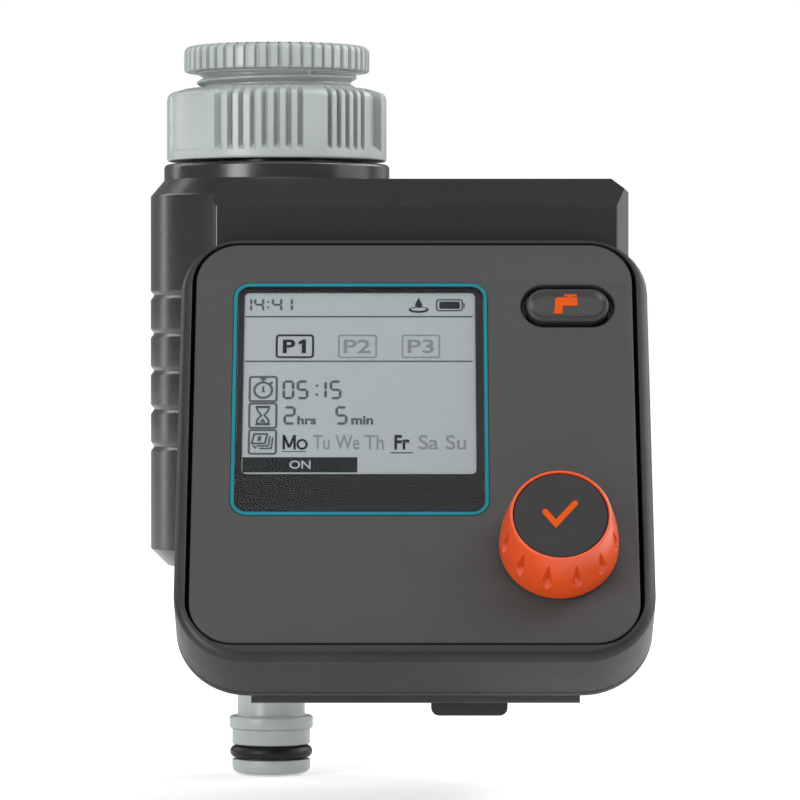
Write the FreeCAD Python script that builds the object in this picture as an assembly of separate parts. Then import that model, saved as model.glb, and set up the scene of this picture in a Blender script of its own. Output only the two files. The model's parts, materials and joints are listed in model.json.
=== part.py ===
"""Electronic tap water timer for drip irrigation.

All sizes are in millimetres.  +Z is up, +X is to the right of the display and -Y is the side
that the display faces.  The origin is the centre of the tap adapter's mouth, where the tap
screws in.  The control panel leans back, so its pieces are drawn flat and then tilted.
"""
import os
from math import cos, radians, sin, tan

import FreeCAD
import Part

V = FreeCAD.Vector
AXES = {"x": V(1, 0, 0), "y": V(0, 1, 0), "z": V(0, 0, 1)}
ORIGIN = V(0, 0, 0)

# ---- driving dimensions: tap end -------------------------------------------------------
TAP_THREAD_R = 13.25          # G3/4 female bore, wall radius
TAP_THREAD_DEPTH = 12.0
ADAPTER_THREAD_R = 16.62      # G1 male crest radius
ADAPTER_HEAD_R = 19.3
ADAPTER_HEAD_Z = -5.3
ADAPTER_FOOT_Z = -17.3
ADAPTER_WATERWAY_R = 9.0
ADAPTER_RIBS = 51
ADAPTER_RIB_HEIGHT = 0.8
FIRST_RIB_AT = -2.0            # degrees from the front
NUT_R = 22.8
NUT_TOP_Z = -8.9
NUT_FOOT_Z = -23.8
NUT_BAND_Z = -22.1            # the plain band at the nut's foot starts here
NUT_GROOVE_DEPTH = 1.3
NUT_BORE_R = 16.92
NUT_FLANGE_Z = -22.2          # top of the inward flange that the retaining ring holds
SPIGOT_R = 13.0
SPIGOT_TOP_Z = -20.0
INLET_R = 10.2
STRAINER_FOOT_Z = -38.0

# ---- driving dimensions: valve housing -------------------------------------------------
NECK_R = 23.4
NECK_TOP_Z = -24.5
COLUMN_R = 26.2
COLUMN_TOP_Z = -31.1
COLUMN_FOOT_Z = -104.1
COLUMN_WALL = 2.6
GRIP_GROOVES_Z = (-51.6, -59.5, -67.2, -75.2, -82.9)
WING_LEFT_X = -12.0
WING_RIGHT_X = 72.0
WING_FRONT_Y = -30.0
WING_BACK_Y = 14.0
WING_TOP_Z = -28.2
WING_WALL = 2.6
DOCK_WALL = 4.0               # front wall, thicker where the control unit docks
DOCK_DEPTH = 1.5
DOCK_X = (0.0, 57.2)
DOCK_Z = (-100.0, -57.0)
COVER_X = (29.0, 69.0)
COVER_Z = (-100.5, -33.0)
CONTACTS = 4
CONTACT_SLOT_X = (20.6, 43.4)
CONTACT_SLOT_Z = (-70.4, -63.6)
SNAP_GROOVE_Z = (-22.0, -20.6)
OUTLET_X = -1.2
END_SCREWS_AT = ((-16.4, 11.5), (-16.4, -11.5), (12.9, 15.3))
OUTLET_BORE_R = 4.6
NIPPLE_COLLAR_R = 8.7
NIPPLE_BODY_R = 8.1
NIPPLE_FOOT_Z = -150.8
NIPPLE_GROOVE_R = 5.9
NIPPLE_NECK_R = 7.0
O_RING_GROOVE_Z = (-147.9, -144.8)
COLLAR_Z = (-141.6, -138.9)
SHOULDER_R = 10.0
SHOULDER_FOOT_Z = -126.0
SEAL_GROOVE_Z = (-111.0, -108.4)
BOSS_FOOT_Z = -122.0

# ---- driving dimensions: valve and solenoid, on an axis along X ----------------------
VALVE_AT = (-3.0, -66.0)      # Y and Z of that axis
DRUM_R = 15.5
DRUM_X = (-8.0, 11.0)
CHAMBER_R = 12.0
CHAMBER_X = (3.0, 12.0)       # ring-shaped chamber round the seat
SEAT_R = 6.5
SEAT_BORE_R = 4.5
SEAT_X = 10.0
FEED_AT = (6.6, 0.0)          # X and Y of the bore from the inlet down to the chamber
FEED_R = 2.8
DIAPHRAGM_X = (11.0, 11.8)
SPRING_SEAT_X = (13.0, 17.0)  # between the diaphragm's plate and the bonnet's roof
BONNET_X = (11.8, 19.0)
NOZZLE_X = 21.3
NOZZLE_R = 1.8
PILOT_R = 0.8
BONNET_SCREW_OFFSETS = (10.6, 12.8)
GUIDE_BORE_R = 3.4
GUIDE_R = 4.2
PLUNGER_R = 3.3
PLUNGER_X = (22.6, 36.0)
PLUNGER_SPRING_X = (30.0, 37.4)
COIL_R = 7.4
COIL_X = (26.0, 43.0)
YOKE_X = (23.6, 45.4)
YOKE_THICK = 1.4

# ---- driving dimensions: control unit, in the panel's own (u, v, w) frame --------------
PANEL_TILT = 60.0             # turn about X that takes flat drawings to the leaning panel
PANEL_CENTRE = V(28.4, -68.5, -80.3)
PLATE_U = 43.0
PLATE_V = 44.1
PLATE_CORNER = 8.6
PLATE_THICK = 2.0
PLATE_GAP = (0.8, 0.4)         # across the panel and along it
TRAY_U = 46.0
TRAY_V = (-47.6, 45.6)
TRAY_CORNERS = (14.0, 12.0)   # lower and upper corner radii
TRAY_SPLIT_W = -14.4          # parting line between front and rear shell
TRAY_BACK_W = -16.6
BEZEL_U = (-34.8, 13.62)
BEZEL_V = (-16.0, 34.4)
BEZEL_CORNER = 2.5
TRIM_WIDTH = 0.7
LENS_THICK = 0.8              # clear lens, flush with the plate
BEZEL_W = (-1.05, -0.8)       # printed sheet behind the lens
LCD_U = (-33.45, 12.0)        # what the printed sheet leaves clear
LCD_V = (-7.3, 33.55)
LCD_CORNER = 1.0
LCD_FRONT_W = (-2.4, -1.1)    # front glass
LCD_BACK_W = (-3.7, -2.4)     # back glass, longer at its foot for the contacts
REFLECTOR_W = (-5.2, -3.7)
BOARD_W = (-10.6, -9.0)
KNOB_AT = (27.6, -23.6)
KNOB_BASE_R = 11.45
KNOB_MIDDLE = (11.0, 6.0)     # radius and height half way up, where the side bulges
KNOB_TOP_R = 9.7
KNOB_TOP_W = 13.0
KNOB_FOOT_W = 0.5
KNOB_WEB_W = (8.0, 9.6)       # web inside the knob, carried by the encoder's shaft
KNOB_DIMPLES = 12
FIRST_DIMPLE_AT = -13.5       # degrees from the knob's foot
DIMPLE_FOOT = V(0, -11.8, 5.4)
DIMPLE_TIP = V(0, -10.55, 10.6)
DIMPLE_R = (1.3, 0.25)
CAP_R = 9.0
CAP_W = (10.8, 12.8)
STEM_R = 3.0
STEM_FOOT_W = -4.5
PILL_AT = (30.2, 30.0)
PILL_SIZE = (16.3, 7.4)
PILL_TOP_W = 0.45
PILL_FLANGE = (19.6, 10.7)
PILL_HOLE = (18.5, 9.6)
SWITCH_SIZE = 6.2
CASE_SCREWS_AT = ((-37.0, -38.6), (37.0, -38.6), (-37.6, 37.4), (37.6, 37.4))
CASE_BOSS_R = 2.4
BOARD_POSTS_AT = ((-41.0, -22.0), (41.0, -22.0), (-41.0, 22.0), (41.0, 22.0))
POCKET_X = (-3.0, 60.2)       # the deep rear part that holds the battery
POCKET_FOOT_Z = -131.0
POCKET_WALL = 2.0

# ---- driving dimensions: battery and its door --------------------------------------------
BATTERY_BODY = (46.4, 26.5, 17.5)
BATTERY_CORNER = V(4.0, -65.6, -128.1)
TERMINAL_SIDE = 6.35          # terminals' distance from the battery's middle
DOOR_X = (1.4, 55.8)
DOOR_Y = (-72.6, -38.0)
DOOR_Z = (POCKET_FOOT_Z, -129.2)
DOOR_GAP = 0.4
HINGE_AT = (-36.6, -129.2)    # Y and Z of the hinge pin
KNUCKLE_R = 1.8
HINGE_PIN_R = 0.9
TAB_X = (31.6, 46.4)
TAB_FOOT_Z = -133.7


# ---- shape helpers -----------------------------------------------------------------------
def rod(radius, low, high, at=(0.0, 0.0), along="z"):
    """Round bar along one axis; `at` is its place on the other two, in X, Y, Z order."""
    a, b = at
    base = {"x": V(low, a, b), "y": V(a, low, b), "z": V(a, b, low)}[along]
    return Part.makeCylinder(radius, high - low, base, AXES[along])


def ring(outer, inner, low, high, at=(0.0, 0.0), along="z"):
    return rod(outer, low, high, at, along).cut(rod(inner, low, high, at, along))


def block(x, y, z):
    """Box between pairs of limits."""
    return Part.makeBox(x[1] - x[0], y[1] - y[0], z[1] - z[0], V(x[0], y[0], z[0]))


def grown(span, amount):
    return (span[0] - amount, span[1] + amount)


def centred(middle, width):
    return (middle - width / 2, middle + width / 2)


def rounded_wire(corners, to_space):
    """Closed outline through (a, b, rounding radius) corners."""
    touches = []
    for index, (a, b, radius) in enumerate(corners):
        here = V(a, b, 0)
        following = corners[(index + 1) % len(corners)]
        to_before = (V(*corners[index - 1][:2], 0) - here).normalize()
        to_after = (V(*following[:2], 0) - here).normalize()
        half = to_before.getAngle(to_after) / 2
        reach = radius / tan(half)
        inward = (to_before + to_after).normalize() if radius else V(0, 0, 0)
        middle = here + inward * (radius / sin(half) - radius)
        touches.append((here + to_before * reach, middle, here + to_after * reach, radius))
    edges = []
    for index, (enter, middle, leave, radius) in enumerate(touches):
        if radius:
            arc = Part.Arc(to_space(enter), to_space(middle), to_space(leave))
            edges.append(arc.toShape())
        next_enter = touches[(index + 1) % len(touches)][0]
        if (next_enter - leave).Length > 1e-6:
            edges.append(Part.LineSegment(to_space(leave), to_space(next_enter)).toShape())
    return Part.Wire(edges)


def prism(corners, low, high, along="z"):
    """Outline in the other two axes, drawn out along one axis."""
    place = {
        "x": lambda p: V(low, p.x, p.y),
        "y": lambda p: V(p.x, low, p.y),
        "z": lambda p: V(p.x, p.y, low),
    }[along]
    return Part.Face(rounded_wire(corners, place)).extrude(AXES[along] * (high - low))


def lathe(corners, at=(0.0, 0.0)):
    """(radius, z, rounding) outline turned about a vertical axis."""
    face = Part.Face(rounded_wire(corners, lambda p: V(p.x, 0, p.y)))
    solid = face.revolve(ORIGIN, AXES["z"], 360)
    solid.translate(V(at[0], at[1], 0))
    return solid


def pad(x, y, z, corners):
    """Flat plate with rounded corners; `corners` is (radius at low y, radius at high y)."""
    low, high = corners
    outline = [(x[0], y[0], low), (x[1], y[0], low), (x[1], y[1], high), (x[0], y[1], high)]
    return prism(outline, z[0], z[1])


def pill(at, size, low, high):
    """Upright bar with a long round-ended section."""
    end = size[1] / 2 - 0.01
    return pad(centred(at[0], size[0]), centred(at[1], size[1]), (low, high), (end, end))


def fused(pieces):
    first, *others = pieces
    return first.fuse(others).removeSplitter()


def turned(shape, degrees, axis="z", about=ORIGIN):
    copy = shape.copy()
    copy.rotate(about, AXES[axis], degrees)
    return copy


def edges_at(shape, axis, place, shortest=0.0):
    """Edges that lie wholly in one plane."""
    index = "xyz".index(axis)
    return [
        edge for edge in shape.Edges
        if edge.Length > shortest
        and all(abs(edge.valueAt(t)[index] - place) < 1e-4 for t in edge.ParameterRange)
    ]


def on_panel(shape):
    """Tilt a flat drawing into its place on the leaning panel."""
    copy = shape.copy()
    copy.rotate(ORIGIN, AXES["x"], PANEL_TILT)
    copy.translate(PANEL_CENTRE)
    return copy


def panel_point(v, w):
    """(Y, Z) of a point on the panel's own v and w axes."""
    c, s = cos(radians(PANEL_TILT)), sin(radians(PANEL_TILT))
    return (PANEL_CENTRE.y + v * c - w * s, PANEL_CENTRE.z + v * s + w * c)


def notched_disc(root_r, crest_r, grooves, low, high):
    """Disc with grooves down its side; `grooves` holds (middle, width) in degrees from front."""
    points = []
    for middle, width in sorted(grooves):
        wall = min(width * 0.2, 0.8)
        for angle, radius in (
            (middle - width * 0.5, crest_r),
            (middle - width * 0.5 + wall, root_r),
            (middle + width * 0.5 - wall, root_r),
            (middle + width * 0.5, crest_r),
        ):
            points.append(polar(radius, angle))
    wire = Part.makePolygon([V(x, y, low) for x, y in points + points[:1]])
    return Part.Face(wire).extrude(AXES["z"] * (high - low))


def polar(radius, degrees_from_front):
    """Place on a circle, counted from the front (-Y) towards the right (+X)."""
    angle = radians(degrees_from_front - 90)
    return (radius * cos(angle), radius * sin(angle))


def coil_spring(radius, wire_r, low, high, turns, at):
    """Compression spring along X, drawn as closed rings joined by slim posts."""
    start = low + wire_r
    pitch = (high - low - 2 * wire_r) / (turns - 1)
    hoops = [
        Part.makeTorus(radius, wire_r, V(start + i * pitch, *at), AXES["x"])
        for i in range(turns)
    ]
    links = [
        rod(wire_r * 0.7, start + i * pitch, start + (i + 1) * pitch,
            (at[0] + radius * (-1) ** i, at[1]), "x")
        for i in range(turns - 1)
    ]
    return fused(hoops + links)


def screws(places, head_r, head_z, shank_r, shank_z):
    """Pan-head screws; heads and shanks are (low, high) limits along their own axis."""
    solids = []
    for at in places:
        head = rod(head_r, head_z[0], head_z[1], at)
        slot_depth = (head_z[1] - head_z[0]) * 0.5
        outer = head_z[0] if abs(head_z[0]) > abs(shank_z[0]) else head_z[1] - slot_depth
        for width, length in ((0.7, 2.4), (2.4, 0.7)):
            slot = block(centred(at[0], width), centred(at[1], length), (outer, outer + slot_depth))
            head = head.cut(slot)
        solids.append(fused([head, rod(shank_r, shank_z[0], shank_z[1], at)]))
    return Part.makeCompound(solids)


# ---- tap adapter, union nut and what they clamp ------------------------------------------
def tap_adapter():
    """Reducer: knurled head, male thread below it and a female tap thread inside."""
    pitch = 360.0 / ADAPTER_RIBS
    grooves = [(i * pitch + FIRST_RIB_AT, pitch * 0.42) for i in range(ADAPTER_RIBS)]
    root_r = ADAPTER_HEAD_R - ADAPTER_RIB_HEIGHT
    knurled = notched_disc(root_r, ADAPTER_HEAD_R, grooves, ADAPTER_HEAD_Z, 0)
    smooth = lathe([(0, ADAPTER_HEAD_Z, 0), (ADAPTER_HEAD_R + 0.1, ADAPTER_HEAD_Z, 0.3),
                    (ADAPTER_HEAD_R + 0.1, 0, 1.0), (0, 0, 0)])
    threaded = lathe([(0, ADAPTER_FOOT_Z, 0), (ADAPTER_THREAD_R, ADAPTER_FOOT_Z, 0.8),
                      (ADAPTER_THREAD_R, ADAPTER_HEAD_Z, 0), (0, ADAPTER_HEAD_Z, 0)])
    body = fused([knurled.common(smooth), threaded])
    body = body.cut(rod(TAP_THREAD_R, -TAP_THREAD_DEPTH, 1))
    return body.cut(rod(ADAPTER_WATERWAY_R + 1.5, ADAPTER_FOOT_Z - 1, 1))


def adapter_gasket():
    """Flat washer carried on the adapter's lower end."""
    return ring(15.4, 10.4, ADAPTER_FOOT_Z - 1.95, ADAPTER_FOOT_Z)


def nut_grooves():
    """Grip pattern of half a turn, repeated: ribs, a plain pad, ribs and a wide groove."""
    grooves = []
    for half in range(2):
        start = half * 180.0
        grooves += [(start - 30.2, 5.2), (start + 65.5, 15.0)]
        grooves += [(start - 23.3 + 6.15 * k, 3.0) for k in range(7)]
        grooves += [(start + 30.0 + 5.5 * k, 2.9) for k in range(5)]
    return grooves


def union_nut():
    grip = notched_disc(NUT_R - NUT_GROOVE_DEPTH, NUT_R, nut_grooves(), NUT_BAND_Z, NUT_TOP_Z)
    crown = lathe([(0, NUT_BAND_Z, 0), (NUT_R + 0.1, NUT_BAND_Z, 0),
                   (NUT_R + 0.1, NUT_TOP_Z - 1.0, 1.6), (NUT_R - 3.5, NUT_TOP_Z, 0.5),
                   (0, NUT_TOP_Z, 0)])
    band = lathe([(0, NUT_FOOT_Z, 0), (NUT_R, NUT_FOOT_Z, 0.4), (NUT_R, NUT_BAND_Z, 0),
                  (0, NUT_BAND_Z, 0)])
    body = fused([grip.common(crown), band])
    body = body.cut(rod(NUT_BORE_R, NUT_FLANGE_Z, 0))
    return body.cut(rod(SPIGOT_R + 0.4, NUT_FOOT_Z - 1, 0))


def nut_retaining_ring():
    """Snap ring in the spigot's groove that keeps the nut from lifting off."""
    whole = ring(15.8, SPIGOT_R - 0.4, *SNAP_GROOVE_Z)
    return whole.cut(block((-1.5, 1.5), (10, 20), (-23, -20)))


def inlet_strainer():
    """Cup with a flange under the washer and windows round its side."""
    cup = lathe([(0, STRAINER_FOOT_Z, 0), (9.0, STRAINER_FOOT_Z, 0.6), (9.7, SPIGOT_TOP_Z, 0),
                 (12.7, SPIGOT_TOP_Z, 0), (12.7, -19.35, 0), (8.9, -19.35, 0),
                 (8.2, STRAINER_FOOT_Z + 0.9, 0.4), (0, STRAINER_FOOT_Z + 0.9, 0)])
    slot = block((-1.6, 1.6), (-12, 0), (-25.5, -22.0))
    windows = []
    for row in range(3):
        for i in range(8):
            window = turned(slot, i * 45.0)
            window.translate(V(0, 0, -4.8 * row))
            windows.append(window)
    core = rod(6.5, STRAINER_FOOT_Z, -19)
    return cup.cut(Part.makeCompound(windows).cut(core))


# ---- valve housing -----------------------------------------------------------------------
def corners_of(first, second):
    return [(first[0], second[0]), (first[1], second[0]), (first[1], second[1]),
            (first[0], second[1])]


def column_solid():
    """Round body with a necked top and finger grooves."""
    outline = [(0, NECK_TOP_Z, 0), (NECK_R, NECK_TOP_Z, 0.8), (NECK_R, -27.8, 0),
               (COLUMN_R, COLUMN_TOP_Z, 0.6)]
    for z in GRIP_GROOVES_Z:
        outline += [(COLUMN_R, z + 1.0, 0), (COLUMN_R - 0.7, z, 0.3), (COLUMN_R, z - 1.0, 0)]
    outline += [(COLUMN_R, COLUMN_FOOT_Z, 0), (0, COLUMN_FOOT_Z, 0)]
    return lathe(outline)


def wing_solid():
    """Box beside the column, with a bevelled brow, heel and upper right corner."""
    front, back = WING_FRONT_Y, WING_BACK_Y
    plan = [(WING_LEFT_X, 0, 0), (WING_LEFT_X, front, 0.8), (WING_RIGHT_X - 2.6, front, 0.5),
            (WING_RIGHT_X, front + 6.0, 1.5), (WING_RIGHT_X, back, 4.0), (0, back, 0)]
    across = (WING_LEFT_X - 1, WING_RIGHT_X + 1)
    brow = prism([(front - 1, WING_TOP_Z - 6.65, 0), (front + 6, WING_TOP_Z, 0),
                  (front + 6, WING_TOP_Z + 3, 0), (front - 1, WING_TOP_Z + 3, 0)], *across, "x")
    heel = prism([(front - 1, COLUMN_FOOT_Z + 4, 0), (front - 1, COLUMN_FOOT_Z - 2, 0),
                  (front + 5, COLUMN_FOOT_Z - 2, 0)], *across, "x")
    corner = prism([(WING_RIGHT_X - 3.5, WING_TOP_Z, 0), (WING_RIGHT_X, WING_TOP_Z - 2.8, 0),
                    (WING_RIGHT_X + 2, WING_TOP_Z + 2, 0)], front - 1, back + 1, "y")
    return prism(plan, COLUMN_FOOT_Z, WING_TOP_Z).cut([brow, heel, corner])


def valve_housing():
    """Column with the inlet spigot on top, and the wing that carries the dock."""
    outer = fused([column_solid(), wing_solid(), rod(SPIGOT_R, NECK_TOP_Z - 1, SPIGOT_TOP_Z)])
    inside_r = COLUMN_R - COLUMN_WALL
    column_hollow = lathe([(0, -28.5, 0), (20.4, -28.5, 0), (inside_r, -32.0, 0),
                           (inside_r, COLUMN_FOOT_Z - 1, 0), (0, COLUMN_FOOT_Z - 1, 0)])
    wing_hollow = block((WING_LEFT_X + WING_WALL, WING_RIGHT_X - WING_WALL),
                        (WING_FRONT_Y + DOCK_WALL, WING_BACK_Y - 3.4),
                        (COLUMN_FOOT_Z + WING_WALL, -32.0))
    rebate = block(COVER_X, (WING_BACK_Y - 1.8, WING_BACK_Y + 1), COVER_Z)
    window = block(grown(COVER_X, -2.2), (0, WING_BACK_Y), grown(COVER_Z, -2.2))
    shell = outer.cut([column_hollow, wing_hollow, rebate, window, rod(INLET_R, -30, 0)])
    posts = [rod(3.0, 5.5, WING_BACK_Y - 2.4, at, "y") for at in cover_screw_places()]
    posts += [rod(3.9, COLUMN_FOOT_Z, COLUMN_FOOT_Z + 8, at) for at in END_SCREWS_AT]

    dock = prism([(x, z, 3.0) for x, z in corners_of(DOCK_X, DOCK_Z)],
                 WING_FRONT_Y - 1, WING_FRONT_Y + DOCK_DEPTH, "y")
    contact_slot = block(CONTACT_SLOT_X, (WING_FRONT_Y - 1, -20), CONTACT_SLOT_Z)
    snap_groove = ring(SPIGOT_R + 1, SPIGOT_R - 0.4, *SNAP_GROOVE_Z)
    pilots = [rod(1.1, 4.0, WING_BACK_Y, at, "y") for at in cover_screw_places()]
    pilots += [rod(1.45, COLUMN_FOOT_Z - 1, COLUMN_FOOT_Z + 7, at) for at in END_SCREWS_AT]
    return fused([shell] + posts).cut([dock, contact_slot, snap_groove] + pilots)


def cover_screw_places():
    return corners_of(grown(COVER_X, -4.2), grown(COVER_Z, -4.2))


def housing_rear_cover():
    """Plate over the wing's back, let into a rebate and standing slightly proud."""
    x, z = grown(COVER_X, -0.3), grown(COVER_Z, -0.3)
    plate = prism([(a, b, 1.0) for a, b in corners_of(x, z)], WING_BACK_Y - 1.1,
                  WING_BACK_Y + 1.3, "y")
    plate = plate.makeFillet(0.8, edges_at(plate, "y", WING_BACK_Y + 1.3))
    holes = [rod(1.5, 0, 20, at, "y") for at in cover_screw_places()]
    sinks = [rod(2.9, WING_BACK_Y - 0.1, 20, at, "y") for at in cover_screw_places()]
    return plate.cut(holes + sinks)


def housing_seal():
    """Flat gasket between the rear cover and the rebate."""
    span = (WING_BACK_Y - 1.8, WING_BACK_Y - 1.1)
    outer = block(grown(COVER_X, -0.4), span, grown(COVER_Z, -0.4))
    return outer.cut(block(grown(COVER_X, -2.0), (0, 20), grown(COVER_Z, -2.0)))


def rear_cover_screws():
    flat = screws([(x, z) for x, z in cover_screw_places()], 2.5, (0, 1.3), 1.05, (-8.5, 0))
    flat.rotate(ORIGIN, AXES["x"], -90)
    flat = flat.mirror(ORIGIN, AXES["z"])
    flat.translate(V(0, WING_BACK_Y - 0.1, 0))
    return flat


def column_end_cap():
    """Bevelled foot of the column, with the boss that the outlet leaves through."""
    foot = lathe([(0, COLUMN_FOOT_Z, 0), (COLUMN_R, COLUMN_FOOT_Z, 0),
                  (COLUMN_R - 3.5, COLUMN_FOOT_Z - 3.5, 0.6), (0, COLUMN_FOOT_Z - 3.5, 0)])
    boss = lathe([(0, COLUMN_FOOT_Z - 3.5, 0), (14.0, COLUMN_FOOT_Z - 3.5, 0),
                  (11.6, BOSS_FOOT_Z, 0.8), (0, BOSS_FOOT_Z, 0)], (OUTLET_X, 0))
    inner_boss = rod(11.0, COLUMN_FOOT_Z, COLUMN_FOOT_Z + 3.0, (OUTLET_X, 0))
    body = fused([foot, boss, inner_boss])
    bore = rod(9.2, BOSS_FOOT_Z - 1, COLUMN_FOOT_Z + 4, (OUTLET_X, 0))
    pilots = [rod(1.5, COLUMN_FOOT_Z - 5, COLUMN_FOOT_Z + 1, at) for at in END_SCREWS_AT]
    return body.cut([bore] + pilots)


def end_cap_screws():
    return screws(END_SCREWS_AT, 2.0, (COLUMN_FOOT_Z - 4.7, COLUMN_FOOT_Z - 3.5), 1.4,
                  (COLUMN_FOOT_Z - 3.5, COLUMN_FOOT_Z + 6.0))


# ---- valve, on an axis along X --------------------------------------------------------------
def bonnet_screw_places():
    middle_y, middle_z = VALVE_AT
    across, upright = BONNET_SCREW_OFFSETS
    return [(middle_y + y, middle_z + z) for y in (-across, across) for z in (-upright, upright)]


def drum_outline(low, high):
    """Round drum with four screw ears."""
    ears = [rod(2.4, low, high, at, "x") for at in bonnet_screw_places()]
    return fused([rod(DRUM_R, low, high, VALVE_AT, "x")] + ears)


def valve_body():
    """Inlet tube, ring-shaped chamber round the valve seat, and outlet tube."""
    outlet = rod(9.0, COLUMN_FOOT_Z, VALVE_AT[1], (OUTLET_X, 0))
    body = fused([rod(12.9, -44.0, -28.6), rod(10.0, -56.0, -43.0), drum_outline(*DRUM_X), outlet])
    chamber = ring(CHAMBER_R, SEAT_R, *CHAMBER_X, VALVE_AT, "x")
    seat_step = rod(CHAMBER_R, SEAT_X, CHAMBER_X[1], VALVE_AT, "x")
    seat_bore = rod(SEAT_BORE_R, -5.0, CHAMBER_X[1], VALVE_AT, "x")
    inlet = rod(INLET_R, -41.0, -28.0)
    feed = rod(FEED_R, -58.0, -40.0, FEED_AT)
    outlet_bore = rod(OUTLET_BORE_R, COLUMN_FOOT_Z - 1, VALVE_AT[1], (OUTLET_X, 0))
    pilots = [rod(0.9, 2.0, 12.0, at, "x") for at in bonnet_screw_places()]
    return body.cut([chamber, seat_step, seat_bore, inlet, feed, outlet_bore] + pilots)


def diaphragm():
    """Rubber disc clamped at its rim, with a thick pad that rests on the seat."""
    disc = rod(DRUM_R - 0.6, *DIAPHRAGM_X, VALVE_AT, "x")
    seat_pad = rod(SEAT_R, SEAT_X, DIAPHRAGM_X[1], VALVE_AT, "x")
    return fused([disc, seat_pad])


def diaphragm_plate():
    low = SPRING_SEAT_X[0]
    plate = rod(7.5, DIAPHRAGM_X[1], low, VALVE_AT, "x")
    return fused([plate, rod(2.4, low, low + 1.2, VALVE_AT, "x")])


def valve_bonnet():
    """Cover over the diaphragm, with the pilot nozzle under the solenoid."""
    body = fused([drum_outline(*BONNET_X), rod(7.0, 18.0, 23.0, VALVE_AT, "x")])
    hollow = rod(CHAMBER_R, DIAPHRAGM_X[0], SPRING_SEAT_X[1], VALVE_AT, "x")
    recess = ring(GUIDE_R + 0.2, NOZZLE_R, NOZZLE_X - 0.8, 24.0, VALVE_AT, "x")
    nozzle_top = rod(GUIDE_R + 0.2, NOZZLE_X, 24.0, VALVE_AT, "x")
    pilot = rod(PILOT_R, SPRING_SEAT_X[1] - 1, 24.0, VALVE_AT, "x")
    holes = [rod(1.3, 11.0, 20.0, at, "x") for at in bonnet_screw_places()]
    return body.cut([hollow, recess, nozzle_top, pilot] + holes)


def bonnet_screws():
    shanks = [
        fused([rod(2.0, BONNET_X[1], BONNET_X[1] + 1.4, at, "x"),
               rod(0.85, 4.0, BONNET_X[1], at, "x")])
        for at in bonnet_screw_places()
    ]
    return Part.makeCompound(shanks)


def solenoid_bobbin():
    low, high = COIL_X
    at = VALVE_AT
    tube = rod(GUIDE_R, 22.0, high + 1.0, at, "x")
    flanges = [rod(8.0, low - 1.0, low, at, "x"), rod(8.0, high, high + 1.0, at, "x")]
    return fused([tube] + flanges).cut(rod(GUIDE_BORE_R, 21.0, high + 2.0, at, "x"))


def solenoid_coil():
    return ring(COIL_R, GUIDE_R, *COIL_X, VALVE_AT, "x")


def solenoid_core():
    """Fixed iron core, with a flat head outside the yoke."""
    at = VALVE_AT
    inner = rod(GUIDE_BORE_R - 0.05, PLUNGER_SPRING_X[1], YOKE_X[1] + 0.6, at, "x")
    return fused([inner, rod(5.0, YOKE_X[1], YOKE_X[1] + 1.6, at, "x")])


def solenoid_yoke():
    """Bent steel strap: two end plates and the bridge below the coil."""
    wide = centred(VALVE_AT[0], 16.0)
    tall = (VALVE_AT[1] - 9.8, VALVE_AT[1] + 8.2)
    low, high = YOKE_X
    front = block((low, low + YOKE_THICK), wide, tall)
    back = block((high - YOKE_THICK, high), wide, tall)
    bridge = block(YOKE_X, wide, (tall[0], tall[0] + YOKE_THICK))
    strap = fused([front, back, bridge])
    guide_hole = rod(GUIDE_R + 0.1, low - 1, low + 2, VALVE_AT, "x")
    core_hole = rod(GUIDE_BORE_R + 0.1, high - 2, high + 1, VALVE_AT, "x")
    return strap.cut([guide_hole, core_hole])


def plunger():
    """Iron plunger, bored at its far end for the return spring."""
    body = rod(PLUNGER_R, *PLUNGER_X, VALVE_AT, "x")
    return body.cut(rod(2.0, PLUNGER_SPRING_X[0], PLUNGER_X[1] + 1, VALVE_AT, "x"))


def plunger_seal():
    return rod(2.4, NOZZLE_X + 0.05, PLUNGER_X[0], VALVE_AT, "x")


# ---- outlet -----------------------------------------------------------------------------------
def outlet_nipple():
    """Quick-connect hose nipple with a shoulder, a collar and an O-ring groove."""
    foot, body_r, groove_r = NIPPLE_FOOT_Z, NIPPLE_BODY_R, NIPPLE_GROOVE_R
    groove_low, groove_high = O_RING_GROOVE_Z
    collar_low, collar_high = COLLAR_Z
    seal_low, seal_high = SEAL_GROOVE_Z
    top = COLUMN_FOOT_Z - 0.3
    outline = [(OUTLET_BORE_R, foot, 0.5), (body_r, foot, 1.6), (body_r, groove_low, 0),
               (groove_r, groove_low, 0), (groove_r, groove_high, 0), (body_r, groove_high, 0),
               (body_r, collar_low, 0), (NIPPLE_COLLAR_R, collar_low, 0.5),
               (NIPPLE_COLLAR_R, collar_high, 0.5), (NIPPLE_NECK_R, collar_high, 0.4),
               (NIPPLE_NECK_R, SHOULDER_FOOT_Z, 0), (SHOULDER_R, SHOULDER_FOOT_Z, 0.4),
               (SHOULDER_R, BOSS_FOOT_Z, 0), (9.0, BOSS_FOOT_Z, 0), (9.0, seal_low, 0),
               (7.4, seal_low, 0), (7.4, seal_high, 0), (9.0, seal_high, 0), (9.0, top, 0.3),
               (OUTLET_BORE_R, top, 0)]
    return lathe(outline, (OUTLET_X, 0))


def o_ring(radius, section, z):
    return Part.makeTorus(radius, section, V(OUTLET_X, 0, z), AXES["z"])


# ---- dock contacts -------------------------------------------------------------------------------
def contact_places():
    middle = sum(CONTACT_SLOT_Z) / 2
    step = (CONTACT_SLOT_X[1] - CONTACT_SLOT_X[0]) / CONTACTS
    return [(CONTACT_SLOT_X[0] + step * (i + 0.5), middle) for i in range(CONTACTS)]


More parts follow.
